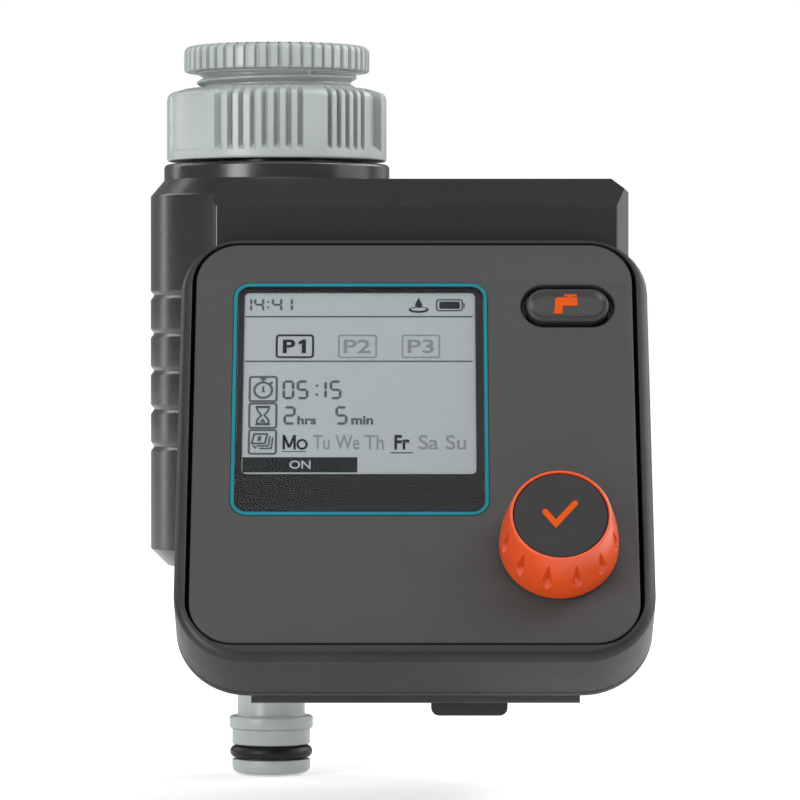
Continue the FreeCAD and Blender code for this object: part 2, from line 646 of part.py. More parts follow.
def contact_block():
    """Plastic block behind the dock wall, with a nose that fills the wall's slot."""
    behind = block(grown(CONTACT_SLOT_X, 2.0), (-26.0, -21.0), grown(CONTACT_SLOT_Z, 2.0))
    nose = block(grown(CONTACT_SLOT_X, -0.1), (WING_FRONT_Y + DOCK_DEPTH, -26.0),
                 grown(CONTACT_SLOT_Z, -0.1))
    holes = [rod(0.8, -30, -20, at, "y") for at in contact_places()]
    return fused([behind, nose]).cut(holes)


def contact_pins():
    pins = [fused([rod(0.8, -29.6, -19.0, at, "y"),
                   Part.makeSphere(0.8, V(at[0], -29.6, at[1]))]) for at in contact_places()]
    return Part.makeCompound(pins)


def contact_pads():
    """Gold pads in the control unit's back that the pins press on."""
    return Part.makeCompound([rod(1.5, -31.3, -30.5, at, "y") for at in contact_places()])


def coil_leads():
    """Two wires from the coil up to the dock contacts."""
    wires = []
    for x, z in (contact_places()[1], contact_places()[2]):
        route = [V(x, -19.0, z), V(x, -14.0, z), V(x, -12.5, z + 4), V(x, -6.0, z + 9.1)]
        runs = [bar_between(a, b, 0.6) for a, b in zip(route, route[1:])]
        joints = [Part.makeSphere(0.6, point) for point in route[1:]]
        wires.append(fused(runs + joints))
    return Part.makeCompound(wires)


def bar_between(start, end, radius):
    return Part.makeCylinder(radius, (end - start).Length, start, end - start)


# ---- control unit: shells and panel ---------------------------------------------------------
def tray_solid(low, high, inset=0.0):
    """The tray's outline between two depths, smaller all round by `inset`."""
    corners = [radius - inset for radius in TRAY_CORNERS]
    return pad(grown((-TRAY_U, TRAY_U), -inset), grown(TRAY_V, -inset), (low, high), corners)


def plate_solid(low, high, extra=(0.0, 0.0)):
    corner = PLATE_CORNER + sum(extra) / 2
    size_u, size_v = PLATE_U + extra[0], PLATE_V + extra[1]
    return pad((-size_u, size_u), (-size_v, size_v), (low, high), (corner, corner))


def control_front_shell():
    """Frame round the panel: rounded rim, a ledge for the plate and the case's side walls."""
    outer = tray_solid(TRAY_SPLIT_W, 0)
    outer = outer.makeFillet(1.6, edges_at(outer, "z", 0))
    seat = plate_solid(-PLATE_THICK, 1, PLATE_GAP)
    mouth = pad((-41.4, 41.4), (-41.9, 41.9), (-5, 1), (12, 12))
    room = pad((-43.2, 43.2), (-44.6, 42.6), (TRAY_SPLIT_W - 1, -4.0), (11, 9))
    shell = outer.cut([seat, mouth, room])
    bosses = [rod(CASE_BOSS_R, TRAY_SPLIT_W, -3.9, at) for at in CASE_SCREWS_AT]
    posts = [rod(2.4, BOARD_W[1], -3.9, at) for at in BOARD_POSTS_AT]
    shell = fused([shell] + bosses + posts)
    pilots = [rod(1.0, TRAY_SPLIT_W - 1, -5.0, at) for at in CASE_SCREWS_AT]
    pilots += [rod(0.9, -10, -5.0, at) for at in BOARD_POSTS_AT]
    return on_panel(shell.cut(pilots))


def control_rear_shell():
    """Back of the tray and the deep pocket that docks on the wing and holds the battery."""
    flange = tray_solid(TRAY_BACK_W, TRAY_SPLIT_W)
    flange = flange.makeFillet(1.2, edges_at(flange, "z", TRAY_BACK_W))
    top, bottom = panel_point(44.0, -15.5), panel_point(-46.5, -15.5)
    back_y = WING_FRONT_Y - 0.2
    foot = POCKET_FOOT_Z
    wedge = prism([(*top, 0), (back_y, -54.0, 1.0), (back_y, foot, 2.0),
                   (-76.5, foot, 1.5), (*bottom, 0)], *POCKET_X, "x")
    boss = prism([(x, z, 2.8) for x, z in corners_of(grown(DOCK_X, -0.3), grown(DOCK_Z, -0.3))],
                 back_y - 1, WING_FRONT_Y + DOCK_DEPTH - 0.2, "y")
    outer = fused([on_panel(flange), wedge, boss])

    inside_x = grown(POCKET_X, -POCKET_WALL)
    inside_y = back_y - POCKET_WALL
    low_front, high_front = panel_point(-42.0, -13.0), panel_point(38.0, -13.0)
    hollow = prism([(*high_front, 0), (inside_y, -60.0, 0), (inside_y, foot + 2.1, 0),
                    (-74.6, foot + 2.1, 0), (*low_front, 0)], *inside_x, "x")
    opening = block(grown(DOOR_X, DOOR_GAP), (DOOR_Y[0] - DOOR_GAP, HINGE_AT[0] + 2.2),
                    (foot - 1, foot + 3))
    pad_wells = [rod(1.8, -31.3, -28.0, at, "y") for at in contact_places()]
    pad_seats = [rod(1.5, -32.0, -28.0, at, "y") for at in contact_places()]
    screw_holes = [on_panel(rod(1.5, -18, -14, at)) for at in CASE_SCREWS_AT]
    sinks = [on_panel(rod(2.7, -18, TRAY_BACK_W + 1.1, at)) for at in CASE_SCREWS_AT]
    shell = outer.cut([hollow, opening] + pad_wells + screw_holes + sinks)
    lintel = block(inside_x, (-68.6, inside_y), (-110.0, -108.4))
    cheeks = [block(span, (-64.0, inside_y), (-127.8, -110.0)) for span in
              ((0.8, 3.6), (53.6, 55.4))]
    knuckles = [rod(KNUCKLE_R, low, high, HINGE_AT, "x") for low, high in
                ((inside_x[0], 1.0), (56.2, inside_x[1]))]
    body = fused([shell, lintel] + cheeks + knuckles)
    pin_hole = rod(HINGE_PIN_R, inside_x[0] - 1.2, inside_x[1] + 1.2, HINGE_AT, "x")
    return body.cut([pin_hole])


def case_screws():
    return on_panel(screws(CASE_SCREWS_AT, 2.4, (TRAY_BACK_W + 0.2, TRAY_BACK_W + 1.1), 0.95,
                           (TRAY_BACK_W + 1.1, -6.0)))


def shell_gasket():
    """Flat seal between the two shells."""
    outer = tray_solid(TRAY_SPLIT_W, TRAY_SPLIT_W + 0.6, 3.2)
    inner = tray_solid(TRAY_SPLIT_W - 1, TRAY_SPLIT_W + 1, 4.4)
    bosses = [rod(CASE_BOSS_R + 0.05, TRAY_SPLIT_W - 1, 0, at) for at in CASE_SCREWS_AT]
    return on_panel(outer.cut([inner] + bosses))


def front_plate():
    """Flat panel with openings for the display, the pill button and the knob's shaft."""
    body = plate_solid(-PLATE_THICK, 0)
    body = body.makeFillet(0.4, edges_at(body, "z", 0))
    recess = display_outline(TRIM_WIDTH + 0.02, BEZEL_W[0], 1)
    glazing = pad(grown(LCD_U, 0.8), grown(LCD_V, 0.8), (-3, 1), (0.3, 0.3))
    pill_hole = pill(PILL_AT, PILL_HOLE, -3, 1)
    return on_panel(body.cut([recess, glazing, pill_hole, rod(7.2, -3, 1, KNOB_AT)]))


def display_outline(extra, low, high):
    corner = BEZEL_CORNER + extra
    return pad(grown(BEZEL_U, extra), grown(BEZEL_V, extra), (low, high), (corner, corner))


def display_trim():
    """Coloured line round the display."""
    outer = display_outline(TRIM_WIDTH, BEZEL_W[0], 0.02)
    return on_panel(outer.cut(display_outline(0.0, -3, 1)))


def display_bezel():
    """Dark printed sheet behind the lens, open over the glass."""
    sheet = display_outline(0.0, *BEZEL_W)
    return on_panel(sheet.cut(pad(LCD_U, LCD_V, (-3, 1), (LCD_CORNER, LCD_CORNER))))


def display_window():
    """Clear lens over the whole display, flush with the plate."""
    return on_panel(display_outline(0.0, -LENS_THICK, 0.0))


def lcd_panel():
    """Glass sandwich: the front glass is shorter, which leaves the contact ledge bare."""
    back = block(grown(LCD_U, 1.6), (LCD_V[0] - 2.4, LCD_V[1] + 1.6), LCD_BACK_W)
    front = block(grown(LCD_U, 0.6), grown(LCD_V, 0.6), LCD_FRONT_W)
    return on_panel(back.fuse(front))


def lcd_backing():
    """White reflector sheet behind the glass."""
    return on_panel(block(grown(LCD_U, 1.6), (LCD_V[0] + 1.0, LCD_V[1] + 1.6), REFLECTOR_W))


def lcd_holder():
    """Frame that clips the glass to the circuit board."""
    outer = pad(grown(LCD_U, 3.6), (LCD_V[0] - 4.6, LCD_V[1] + 3.0), (BOARD_W[1], -2.2), (4, 4))
    return on_panel(outer.cut(block(grown(LCD_U, 1.8), (LCD_V[0] - 2.6, LCD_V[1] + 1.8), (-12, 0))))


def zebra_strip():
    """Rubber connector between the glass's contact ledge and the board."""
    across, along = grown(LCD_U, -1.0), (LCD_V[0] - 2.3, LCD_V[0] - 0.3)
    return on_panel(block(across, along, (BOARD_W[1], LCD_BACK_W[0])))


def main_circuit_board():
    board = pad((-42.6, 42.6), (-35.4, 33.6), BOARD_W, (2, 2))
    holes = [rod(1.2, -12, -8, at) for at in BOARD_POSTS_AT]
    return on_panel(board.cut(holes))


def board_screws():
    return on_panel(screws(BOARD_POSTS_AT, 2.1, (BOARD_W[0] - 1.2, BOARD_W[0]), 0.85,
                           (BOARD_W[0], -5.5)))


def control_chip():
    """Packaged controller and its crystal on the back of the board."""
    chip = block((-20, -8), (2, 14), (BOARD_W[0] - 1.4, BOARD_W[0]))
    crystal = pill((-1.0, 8.0), (9.0, 3.6), BOARD_W[0] - 3.0, BOARD_W[0])
    return on_panel(Part.makeCompound([chip, crystal]))


# ---- knob, press button in its middle, and pill button --------------------------------------------
def encoder_body():
    return on_panel(ring(9.6, 6.68, BOARD_W[1], -3.4, KNOB_AT))


def encoder_shaft():
    """Hollow shaft that the knob turns, with the press switch inside it."""
    return on_panel(ring(6.6, 5.2, -8.6, 8.0, KNOB_AT))


def knob_ring():
    """Bulging grip ring with teardrop dimples, on a web above the shaft."""
    foot = KNOB_FOOT_W
    outline = [(0, foot, 0), (KNOB_BASE_R - 0.3, foot, 0), (KNOB_BASE_R, foot + 1.0, 0.5),
               (*KNOB_MIDDLE, 4.0), (KNOB_TOP_R + 0.15, KNOB_TOP_W - 0.7, 1.0),
               (KNOB_TOP_R - 0.2, KNOB_TOP_W, 0.2), (0, KNOB_TOP_W, 0)]
    body = lathe(outline)
    rise = DIMPLE_TIP - DIMPLE_FOOT
    dimple = Part.makeCone(*DIMPLE_R, rise.Length, DIMPLE_FOOT, rise)
    dimple = dimple.fuse(Part.makeSphere(DIMPLE_R[0], DIMPLE_FOOT))
    dimples = [turned(dimple, 360.0 * i / KNOB_DIMPLES + FIRST_DIMPLE_AT)
               for i in range(KNOB_DIMPLES)]
    cap_room = rod(CAP_R + 0.2, KNOB_WEB_W[1], 20)
    shaft_room = rod(CAP_R + 0.6, -1, KNOB_WEB_W[0])
    body = body.cut(dimples + [cap_room, shaft_room, rod(STEM_R + 0.6, -1, 12)])
    body.translate(V(*KNOB_AT, 0))
    return on_panel(body)


def ok_button():
    """Cap in the knob's middle on a stem that reaches the press switch."""
    low, high = CAP_W
    cap = lathe([(0, low, 0), (CAP_R, low, 0), (CAP_R, high, 0.6), (0, high, 0)], KNOB_AT)
    return on_panel(fused([cap, rod(STEM_R, STEM_FOOT_W, low + 0.1, KNOB_AT)]))


def ok_switch():
    base = block(centred(KNOB_AT[0], SWITCH_SIZE), centred(KNOB_AT[1], SWITCH_SIZE),
                 (BOARD_W[1], -6.2))
    return on_panel(fused([base, rod(1.7, -6.2, -5.4, KNOB_AT)]))


def manual_button():
    """Pill-shaped cap, its retaining flange and the stem over its switch."""
    cap = pill(PILL_AT, PILL_SIZE, -3.4, PILL_TOP_W)
    cap = cap.makeFillet(0.4, edges_at(cap, "z", PILL_TOP_W))
    flange = pill(PILL_AT, PILL_FLANGE, -4.2, -3.4)
    return on_panel(fused([cap, flange, rod(1.5, -4.6, -4.1, PILL_AT)]))


def button_seal():
    """Rubber ring between the plate and the pill button's flange."""
    outer = pill(PILL_AT, (PILL_HOLE[0] + 2.2, PILL_HOLE[1] + 2.2), -3.3, -PLATE_THICK)
    return on_panel(outer.cut(pill(PILL_AT, (PILL_SIZE[0] + 0.8, PILL_SIZE[1] + 0.8), -4, 0)))


def manual_switch():
    base = block(centred(PILL_AT[0], SWITCH_SIZE), centred(PILL_AT[1], SWITCH_SIZE),
                 (BOARD_W[1], -6.8))
    return on_panel(fused([base, rod(1.7, -6.8, -5.9, PILL_AT)]))


# ---- battery, contacts and door ------------------------------------------------------------------
def battery():
    """Nine-volt block with its two snap terminals."""
    long, deep, high = BATTERY_BODY
    x, y, z = BATTERY_CORNER
    body = pad((x, x + long), (y, y + deep), (z, z + high), (1.5, 1.5))
    terminals = [rod(radius, x + long, x + long + 2.1, (y + deep / 2 + side, z + high / 2), "x")
                 for radius, side in ((2.9, -TERMINAL_SIDE), (3.9, TERMINAL_SIDE))]
    return fused([body] + terminals)


def battery_contacts():
    """Carrier with two spring plates that face the battery's terminals."""
    x, y, z = BATTERY_CORNER
    face = x + BATTERY_BODY[0] + 2.2
    middle = y + BATTERY_BODY[1] / 2
    plates = [block((face, face + 0.6), centred(middle + side, 8.0), (z + 3.0, z + 14.5))
              for side in (-TERMINAL_SIDE, TERMINAL_SIDE)]
    tails = [block((face, face + 0.6), centred(middle + side, 2.0), (z + 14.5, z + 17.6))
             for side in (-TERMINAL_SIDE, TERMINAL_SIDE)]
    return Part.makeCompound([plate.fuse(tail) for plate, tail in zip(plates, tails)])


def battery_door():
    """Door in the pocket's foot: plate, two hinge knuckles and a finger tab at its front."""
    plate = block(DOOR_X, DOOR_Y, DOOR_Z)
    knuckle_spans = ((4.0, 16.0), (41.2, 53.2))
    knuckles = [rod(KNUCKLE_R, *span, HINGE_AT, "x") for span in knuckle_spans]
    arms = [block(span, (DOOR_Y[1] - 1, HINGE_AT[0]), DOOR_Z) for span in knuckle_spans]
    tab = prism([(TAB_X[0], TAB_FOOT_Z, 1.6), (TAB_X[1], TAB_FOOT_Z, 1.6), (TAB_X[1], -129.6, 0),
                 (TAB_X[0], -129.6, 0)], DOOR_Y[0], DOOR_Y[0] + 2.6, "y")
    body = fused([plate, tab] + knuckles + arms)
    return body.cut(rod(HINGE_PIN_R + 0.1, 0, 60, HINGE_AT, "x"))


def door_seal():
    outer = block((3.0, 54.2), (-70.0, -40.0), (DOOR_Z[1], DOOR_Z[1] + 0.8))
    return outer.cut(block((4.4, 52.8), (-68.6, -41.4), (-130, -128)))


def door_hinge_pin():
    return rod(HINGE_PIN_R, POCKET_X[0] + 0.9, POCKET_X[1] - 0.9, HINGE_AT, "x")


PIECES = {
    "tap_adapter": tap_adapter,
    "adapter_gasket": adapter_gasket,
    "union_nut": union_nut,
    "nut_retaining_ring": nut_retaining_ring,
    "inlet_strainer": inlet_strainer,
    "valve_housing": valve_housing,
    "housing_rear_cover": housing_rear_cover,
    "housing_seal": housing_seal,
    "rear_cover_screws": rear_cover_screws,
    "column_end_cap": column_end_cap,
    "end_cap_screws": end_cap_screws,
    "valve_body": valve_body,
    "diaphragm": diaphragm,
    "diaphragm_plate": diaphragm_plate,
    "diaphragm_spring": lambda: coil_spring(3.9, 0.4, *grown(SPRING_SEAT_X, -0.05), 4, VALVE_AT),
    "valve_bonnet": valve_bonnet,
    "bonnet_screws": bonnet_screws,
    "solenoid_bobbin": solenoid_bobbin,
    "solenoid_coil": solenoid_coil,
    "solenoid_core": solenoid_core,
    "solenoid_yoke": solenoid_yoke,
    "plunger": plunger,
    "plunger_seal": plunger_seal,
    "plunger_spring": lambda: coil_spring(1.5, 0.25, *grown(PLUNGER_SPRING_X, -0.1), 8, VALVE_AT),
    "inlet_seal": lambda: ring(12.8, 10.9, -28.6, -28.5),
    "outlet_nipple": outlet_nipple,
    "outlet_o_ring": lambda: o_ring(7.25, 1.3, sum(O_RING_GROOVE_Z) / 2),
    "outlet_seal": lambda: o_ring(8.15, 0.75, sum(SEAL_GROOVE_Z) / 2),
    "contact_block": contact_block,
    "contact_pins": contact_pins,
    "contact_pads": contact_pads,
    "coil_leads": coil_leads,
    "control_front_shell": control_front_shell,
    "control_rear_shell": control_rear_shell,
    "shell_gasket": shell_gasket,
    "case_screws": case_screws,
    "front_plate": front_plate,
    "display_trim": display_trim,
    "display_bezel": display_bezel,
    "display_window": display_window,
    "lcd_panel": lcd_panel,
    "lcd_backing": lcd_backing,
    "lcd_holder": lcd_holder,
    "zebra_strip": zebra_strip,
    "main_circuit_board": main_circuit_board,
    "board_screws": board_screws,
    "control_chip": control_chip,
    "encoder_body": encoder_body,
    "encoder_shaft": encoder_shaft,
    "knob_ring": knob_ring,
    "ok_button": ok_button,
    "ok_switch": ok_switch,
    "manual_button": manual_button,
    "button_seal": button_seal,
    "manual_switch": manual_switch,
    "battery": battery,
    "battery_contacts": battery_contacts,
    "battery_door": battery_door,
    "door_seal": door_seal,
    "door_hinge_pin": door_hinge_pin,
}

os.makedirs("parts", exist_ok=True)
for name, make in PIECES.items():
    shape = make()
    shape.exportStep(f"parts/{name}.step")
    print(f"{name}: {len(shape.Solids)} solid(s), {shape.Volume:.1f} mm3, valid {shape.isValid()}")
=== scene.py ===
"""Looks of the drip irrigation timer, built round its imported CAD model.

Shapes are drawn in millimetres and turned to metres when a piece is made.  Pieces of the
control panel are drawn in the panel's own (u, v, w) frame, where w points out of the panel.
"""

import json
import math
from math import cos, pi, radians, sin, tan

import bmesh
import bpy
from mathutils import Matrix, Vector

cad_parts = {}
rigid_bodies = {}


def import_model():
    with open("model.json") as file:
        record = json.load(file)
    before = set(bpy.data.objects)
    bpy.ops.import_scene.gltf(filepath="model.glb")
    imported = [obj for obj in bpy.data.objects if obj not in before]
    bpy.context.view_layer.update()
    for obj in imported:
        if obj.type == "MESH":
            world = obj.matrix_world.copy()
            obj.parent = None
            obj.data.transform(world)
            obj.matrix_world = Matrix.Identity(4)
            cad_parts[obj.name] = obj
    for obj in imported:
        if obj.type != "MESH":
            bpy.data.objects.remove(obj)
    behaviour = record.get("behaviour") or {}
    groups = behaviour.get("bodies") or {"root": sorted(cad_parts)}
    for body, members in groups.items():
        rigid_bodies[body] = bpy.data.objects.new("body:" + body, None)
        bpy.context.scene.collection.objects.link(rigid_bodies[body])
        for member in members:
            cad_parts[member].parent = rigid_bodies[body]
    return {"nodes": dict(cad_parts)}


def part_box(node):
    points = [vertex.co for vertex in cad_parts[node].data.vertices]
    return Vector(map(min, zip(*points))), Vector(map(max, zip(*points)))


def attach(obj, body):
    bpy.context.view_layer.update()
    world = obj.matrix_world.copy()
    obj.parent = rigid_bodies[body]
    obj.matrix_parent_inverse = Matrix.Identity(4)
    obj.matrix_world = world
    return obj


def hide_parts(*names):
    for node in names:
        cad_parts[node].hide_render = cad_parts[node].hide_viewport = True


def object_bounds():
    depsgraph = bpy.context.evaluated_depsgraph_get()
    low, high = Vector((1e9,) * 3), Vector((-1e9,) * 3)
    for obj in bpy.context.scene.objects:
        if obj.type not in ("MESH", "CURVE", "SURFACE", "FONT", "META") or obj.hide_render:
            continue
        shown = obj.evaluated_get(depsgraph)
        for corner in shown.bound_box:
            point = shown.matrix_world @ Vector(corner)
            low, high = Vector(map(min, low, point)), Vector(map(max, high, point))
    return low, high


for stray in list(bpy.data.objects):
    bpy.data.objects.remove(stray)
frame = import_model()
cad_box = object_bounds()
MM = 0.001


# ---- where things are, from the frame --------------------------------------------------
def box_mm(node):
    low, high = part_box(node)
    return low / MM, high / MM


LEAN = radians(60)
PANEL_V = Vector((0, cos(LEAN), sin(LEAN)))
PANEL_W = Vector((0, -sin(LEAN), cos(LEAN)))
# The panel's origin is found from the display bezel, whose middle is at this (u, v, w).
BEZEL_MIDDLE = (-10.59, 9.2, -0.925)
PANEL_CENTRE = sum(box_mm("display_bezel"), Vector()) / 2 - Vector((BEZEL_MIDDLE[0], 0, 0))
PANEL_CENTRE -= PANEL_V * BEZEL_MIDDLE[1] + PANEL_W * BEZEL_MIDDLE[2]
PANEL = Matrix.Translation(PANEL_CENTRE * MM) @ Matrix.Rotation(LEAN, 4, "X")
KNOB_AT = (27.6, -23.6)
PILL_AT = (30.2, 30.0)
PILL_SIZE = (16.3, 7.4)
OUTLET_X = -1.2
LCD_FACE_W = -1.1


# ---- materials -------------------------------------------------------------------------
class Nodes:
    """Small helper that adds nodes to a material and joins them."""

    def __init__(self, name):
        self.material = bpy.data.materials.new(name)
        self.material.use_nodes = True
        self.tree = self.material.node_tree
        self.shader = self.tree.nodes["Principled BSDF"]
        self.output = self.tree.nodes["Material Output"]
        self.place = self.add("ShaderNodeTexCoord").outputs["Object"]

    def add(self, kind, **settings):
        node = self.tree.nodes.new(kind)
        for key, value in settings.items():
            setattr(node, key, value)
        return node

    def join(self, source, target):
        self.tree.links.new(source, target)

    def noise(self, size_mm, detail=2.0):
        """Noise whose features are about size_mm across."""
        node = self.add("ShaderNodeTexNoise")
        node.inputs["Scale"].default_value = 1.0 / (size_mm * MM)
        node.inputs["Detail"].default_value = detail
        self.join(self.place, node.inputs["Vector"])
        return node.outputs["Fac"]

    def ranged(self, value, low, high, start=0.3, end=0.7):
        """Takes values from start to end and stretches them from low to high."""
        node = self.add("ShaderNodeMapRange")
        self.join(value, node.inputs["Value"])
        node.inputs["From Min"].default_value = start
        node.inputs["From Max"].default_value = end
        node.inputs["To Min"].default_value = low
        node.inputs["To Max"].default_value = high
        return node.outputs["Result"]

    def blended(self, factor, first, second):
        """Mixes two colours; each is a tuple or another node's output."""
        node = self.add("ShaderNodeMix", data_type="RGBA")
        self.join(factor, node.inputs["Factor"])
        for socket, colour in zip((node.inputs[6], node.inputs[7]), (first, second)):
            if isinstance(colour, tuple):
                socket.default_value = (*colour, 1.0)
            else:
                self.join(colour, socket)
        return node.outputs[2]

    def bumped(self, height, depth_mm):
        node = self.add("ShaderNodeBump")
        node.inputs["Strength"].default_value = 1.0
        node.inputs["Distance"].default_value = depth_mm * MM
        self.join(height, node.inputs["Height"])
        self.join(node.outputs["Normal"], self.shader.inputs["Normal"])


def tinted(colour, factor):
    return tuple(min(1.0, channel * factor) for channel in colour)


def moulded(name, colour, rough, grain_mm=0.35, depth_mm=0.012, mottle=0.06, gloss=0.5):
    """Injection-moulded plastic or rubber: fine spark-eroded grain and faint flow marks."""
    nodes = Nodes(name)
    tone = nodes.ranged(nodes.noise(9.0, 3.0), 0.0, 1.0)
    base = nodes.blended(tone, tinted(colour, 1 - mottle), tinted(colour, 1 + mottle))
    nodes.join(base, nodes.shader.inputs["Base Color"])
    worn = nodes.ranged(nodes.noise(2.4, 3.0), rough * 0.92, rough * 1.08)
    nodes.join(worn, nodes.shader.inputs["Roughness"])
    nodes.shader.inputs["Specular IOR Level"].default_value = gloss
    nodes.bumped(nodes.noise(grain_mm, 2.0), depth_mm)
    return nodes.material


def metal(name, colour, rough):
    nodes = Nodes(name)
    tone = nodes.ranged(nodes.noise(1.2, 3.0), 0.0, 1.0)
    base = nodes.blended(tone, tinted(colour, 0.9), tinted(colour, 1.05))
    nodes.join(base, nodes.shader.inputs["Base Color"])
    nodes.join(nodes.ranged(nodes.noise(0.5, 3.0), rough * 0.8, rough * 1.2),
               nodes.shader.inputs["Roughness"])
    nodes.shader.inputs["Metallic"].default_value = 1.0
    nodes.bumped(nodes.noise(0.25, 2.0), 0.004)
    return nodes.material


def clear_pane(name):
    """Thin clear acrylic, coated: lets light straight through and mirrors very little."""
    nodes = Nodes(name)
    nodes.tree.nodes.remove(nodes.shader)
    fresnel = nodes.add("ShaderNodeFresnel")
    fresnel.inputs["IOR"].default_value = 1.45
    through = nodes.add("ShaderNodeBsdfTransparent")
    through.inputs["Color"].default_value = (0.97, 0.98, 0.98, 1)
    mirror = nodes.add("ShaderNodeBsdfGlossy")
    nodes.join(nodes.ranged(nodes.noise(3.0), 0.03, 0.06), mirror.inputs["Roughness"])
    mix = nodes.add("ShaderNodeMixShader")
    coated = nodes.ranged(fresnel.outputs["Fac"], 0.0, 0.2, 0.0, 1.0)
    nodes.join(coated, mix.inputs["Fac"])
    nodes.join(through.outputs["BSDF"], mix.inputs[1])
    nodes.join(mirror.outputs["BSDF"], mix.inputs[2])
    nodes.join(mix.outputs["Shader"], nodes.output.inputs["Surface"])
    return nodes.material


def wound_copper(name):
    """Fine enamelled wire, as rings round the coil's axis along X."""
    nodes = Nodes(name)
    wave = nodes.add("ShaderNodeTexWave", bands_direction="X", wave_profile="SIN")
    wave.inputs["Scale"].default_value = 1.0 / (0.9 * MM)
    nodes.join(nodes.place, wave.inputs["Vector"])
    # The colour follows the bump, from dark in the grooves between turns to bright on their tops: painted
    # shade in the grooves and a painted highlight on the tops.
    base = nodes.blended(wave.outputs["Fac"], (0.30, 0.07, 0.02), (0.75, 0.26, 0.10))
    nodes.join(base, nodes.shader.inputs["Base Color"])
    nodes.shader.inputs["Metallic"].default_value = 0.8
    nodes.join(nodes.ranged(nodes.noise(0.6), 0.25, 0.4), nodes.shader.inputs["Roughness"])
    nodes.bumped(wave.outputs["Fac"], 0.08)
    return nodes.material


def board_green(name):
    """Circuit board: green mask with a faint pattern of tracks below it."""
    nodes = Nodes(name)
    tracks = nodes.add("ShaderNodeTexBrick")
    tracks.inputs["Scale"].default_value = 1.0 / (4.0 * MM)
    tracks.inputs["Mortar Size"].default_value = 0.03
    tracks.inputs["Color1"].default_value = (0.010, 0.090, 0.035, 1)
    tracks.inputs["Color2"].default_value = (0.012, 0.105, 0.040, 1)
    tracks.inputs["Mortar"].default_value = (0.030, 0.200, 0.070, 1)
    nodes.join(nodes.place, tracks.inputs["Vector"])
    nodes.join(tracks.outputs["Color"], nodes.shader.inputs["Base Color"])
    nodes.join(nodes.ranged(nodes.noise(2.0), 0.28, 0.38), nodes.shader.inputs["Roughness"])
    nodes.bumped(tracks.outputs["Fac"], 0.03)
    return nodes.material


# Moulded materials: colour, roughness, grain size and depth in mm, mottle, gloss.
MATERIALS = {
    "light_grey_plastic": moulded("light_grey_plastic", (0.335, 0.368, 0.366), 0.34, 0.30, 0.004),
    "black_housing": moulded("black_housing", (0.012, 0.012, 0.012), 0.25, 0.35, 0.0025, gloss=0.62),
    "case_black": moulded("case_black", (0.017, 0.017, 0.016), 0.40, 0.30, 0.004, gloss=0.32),
    "panel_grey": moulded("panel_grey", (0.043, 0.043, 0.042), 0.50, 0.28, 0.006, 0.03, 0.3),
    "button_grey": moulded("button_grey", (0.030, 0.028, 0.028), 0.38, 0.28, 0.003, gloss=0.35),
    "cap_grey": moulded("cap_grey", (0.025, 0.023, 0.024), 0.45, 0.28, 0.003, gloss=0.2),
    "orange_plastic": moulded("orange_plastic", (0.59, 0.064, 0.008), 0.30, 0.30, 0.003, 0.04),
    "orange_mark": moulded("orange_mark", (0.54, 0.068, 0.003), 0.50, 0.30, 0.002, 0.04, 0.1),
    "teal_print": moulded("teal_print", (0.007, 0.155, 0.195), 0.45, 0.20, 0.001, gloss=0.15),
    "bezel_print": moulded("bezel_print", (0.010, 0.009, 0.010), 0.50, 0.40, 0.0005, gloss=0.1),
    "clear_window": clear_pane("clear_window"),
    "lcd_grey": moulded("lcd_grey", (0.322, 0.345, 0.362), 0.50, 0.40, 0.0005, 0.02, 0.3),
    "rubber_black": moulded("rubber_black", (0.008, 0.008, 0.008), 0.42, 0.18, 0.003, gloss=0.25),
    # Blacker and duller than the rubber, for the ring laid in the gap round the plate: painted shade.
    "gap_shade_black": moulded("gap_shade_black", (0.004, 0.004, 0.004), 0.80, 0.18, 0.003, gloss=0.0),
    "stainless_steel": metal("stainless_steel", (0.60, 0.60, 0.58), 0.28),
    "strainer_plastic": moulded("strainer_plastic", (0.70, 0.72, 0.70), 0.45, 0.25, 0.008),
    "valve_plastic": moulded("valve_plastic", (0.55, 0.53, 0.48), 0.48, 0.35, 0.012),
    "copper_wire": wound_copper("copper_wire"),
    "gold_contact": metal("gold_contact", (0.83, 0.60, 0.22), 0.22),
    "lead_insulation": moulded("lead_insulation", (0.45, 0.02, 0.02), 0.45, 0.25, 0.004),
    "circuit_board": board_green("circuit_board"),
    "chip_black": moulded("chip_black", (0.018, 0.018, 0.019), 0.60, 0.15, 0.006),
    "holder_white": moulded("holder_white", (0.72, 0.72, 0.70), 0.45, 0.30, 0.008),
    "battery_case": moulded("battery_case", (0.10, 0.12, 0.17), 0.30, 0.25, 0.003),
    "ink_dark": moulded("ink_dark", (0.006, 0.008, 0.009), 0.60, 0.40, 0.0005, 0.08, 0.1),
    "ink_middle": moulded("ink_middle", (0.060, 0.072, 0.080), 0.60, 0.40, 0.0005, 0.06, 0.1),
    "ink_faint": moulded("ink_faint", (0.170, 0.185, 0.198), 0.60, 0.40, 0.0005, 0.04, 0.2),
}

for node in frame["nodes"].values():
    slot = node.data.materials[0].name
    node.data.materials.clear()
    node.data.materials.append(MATERIALS[slot])


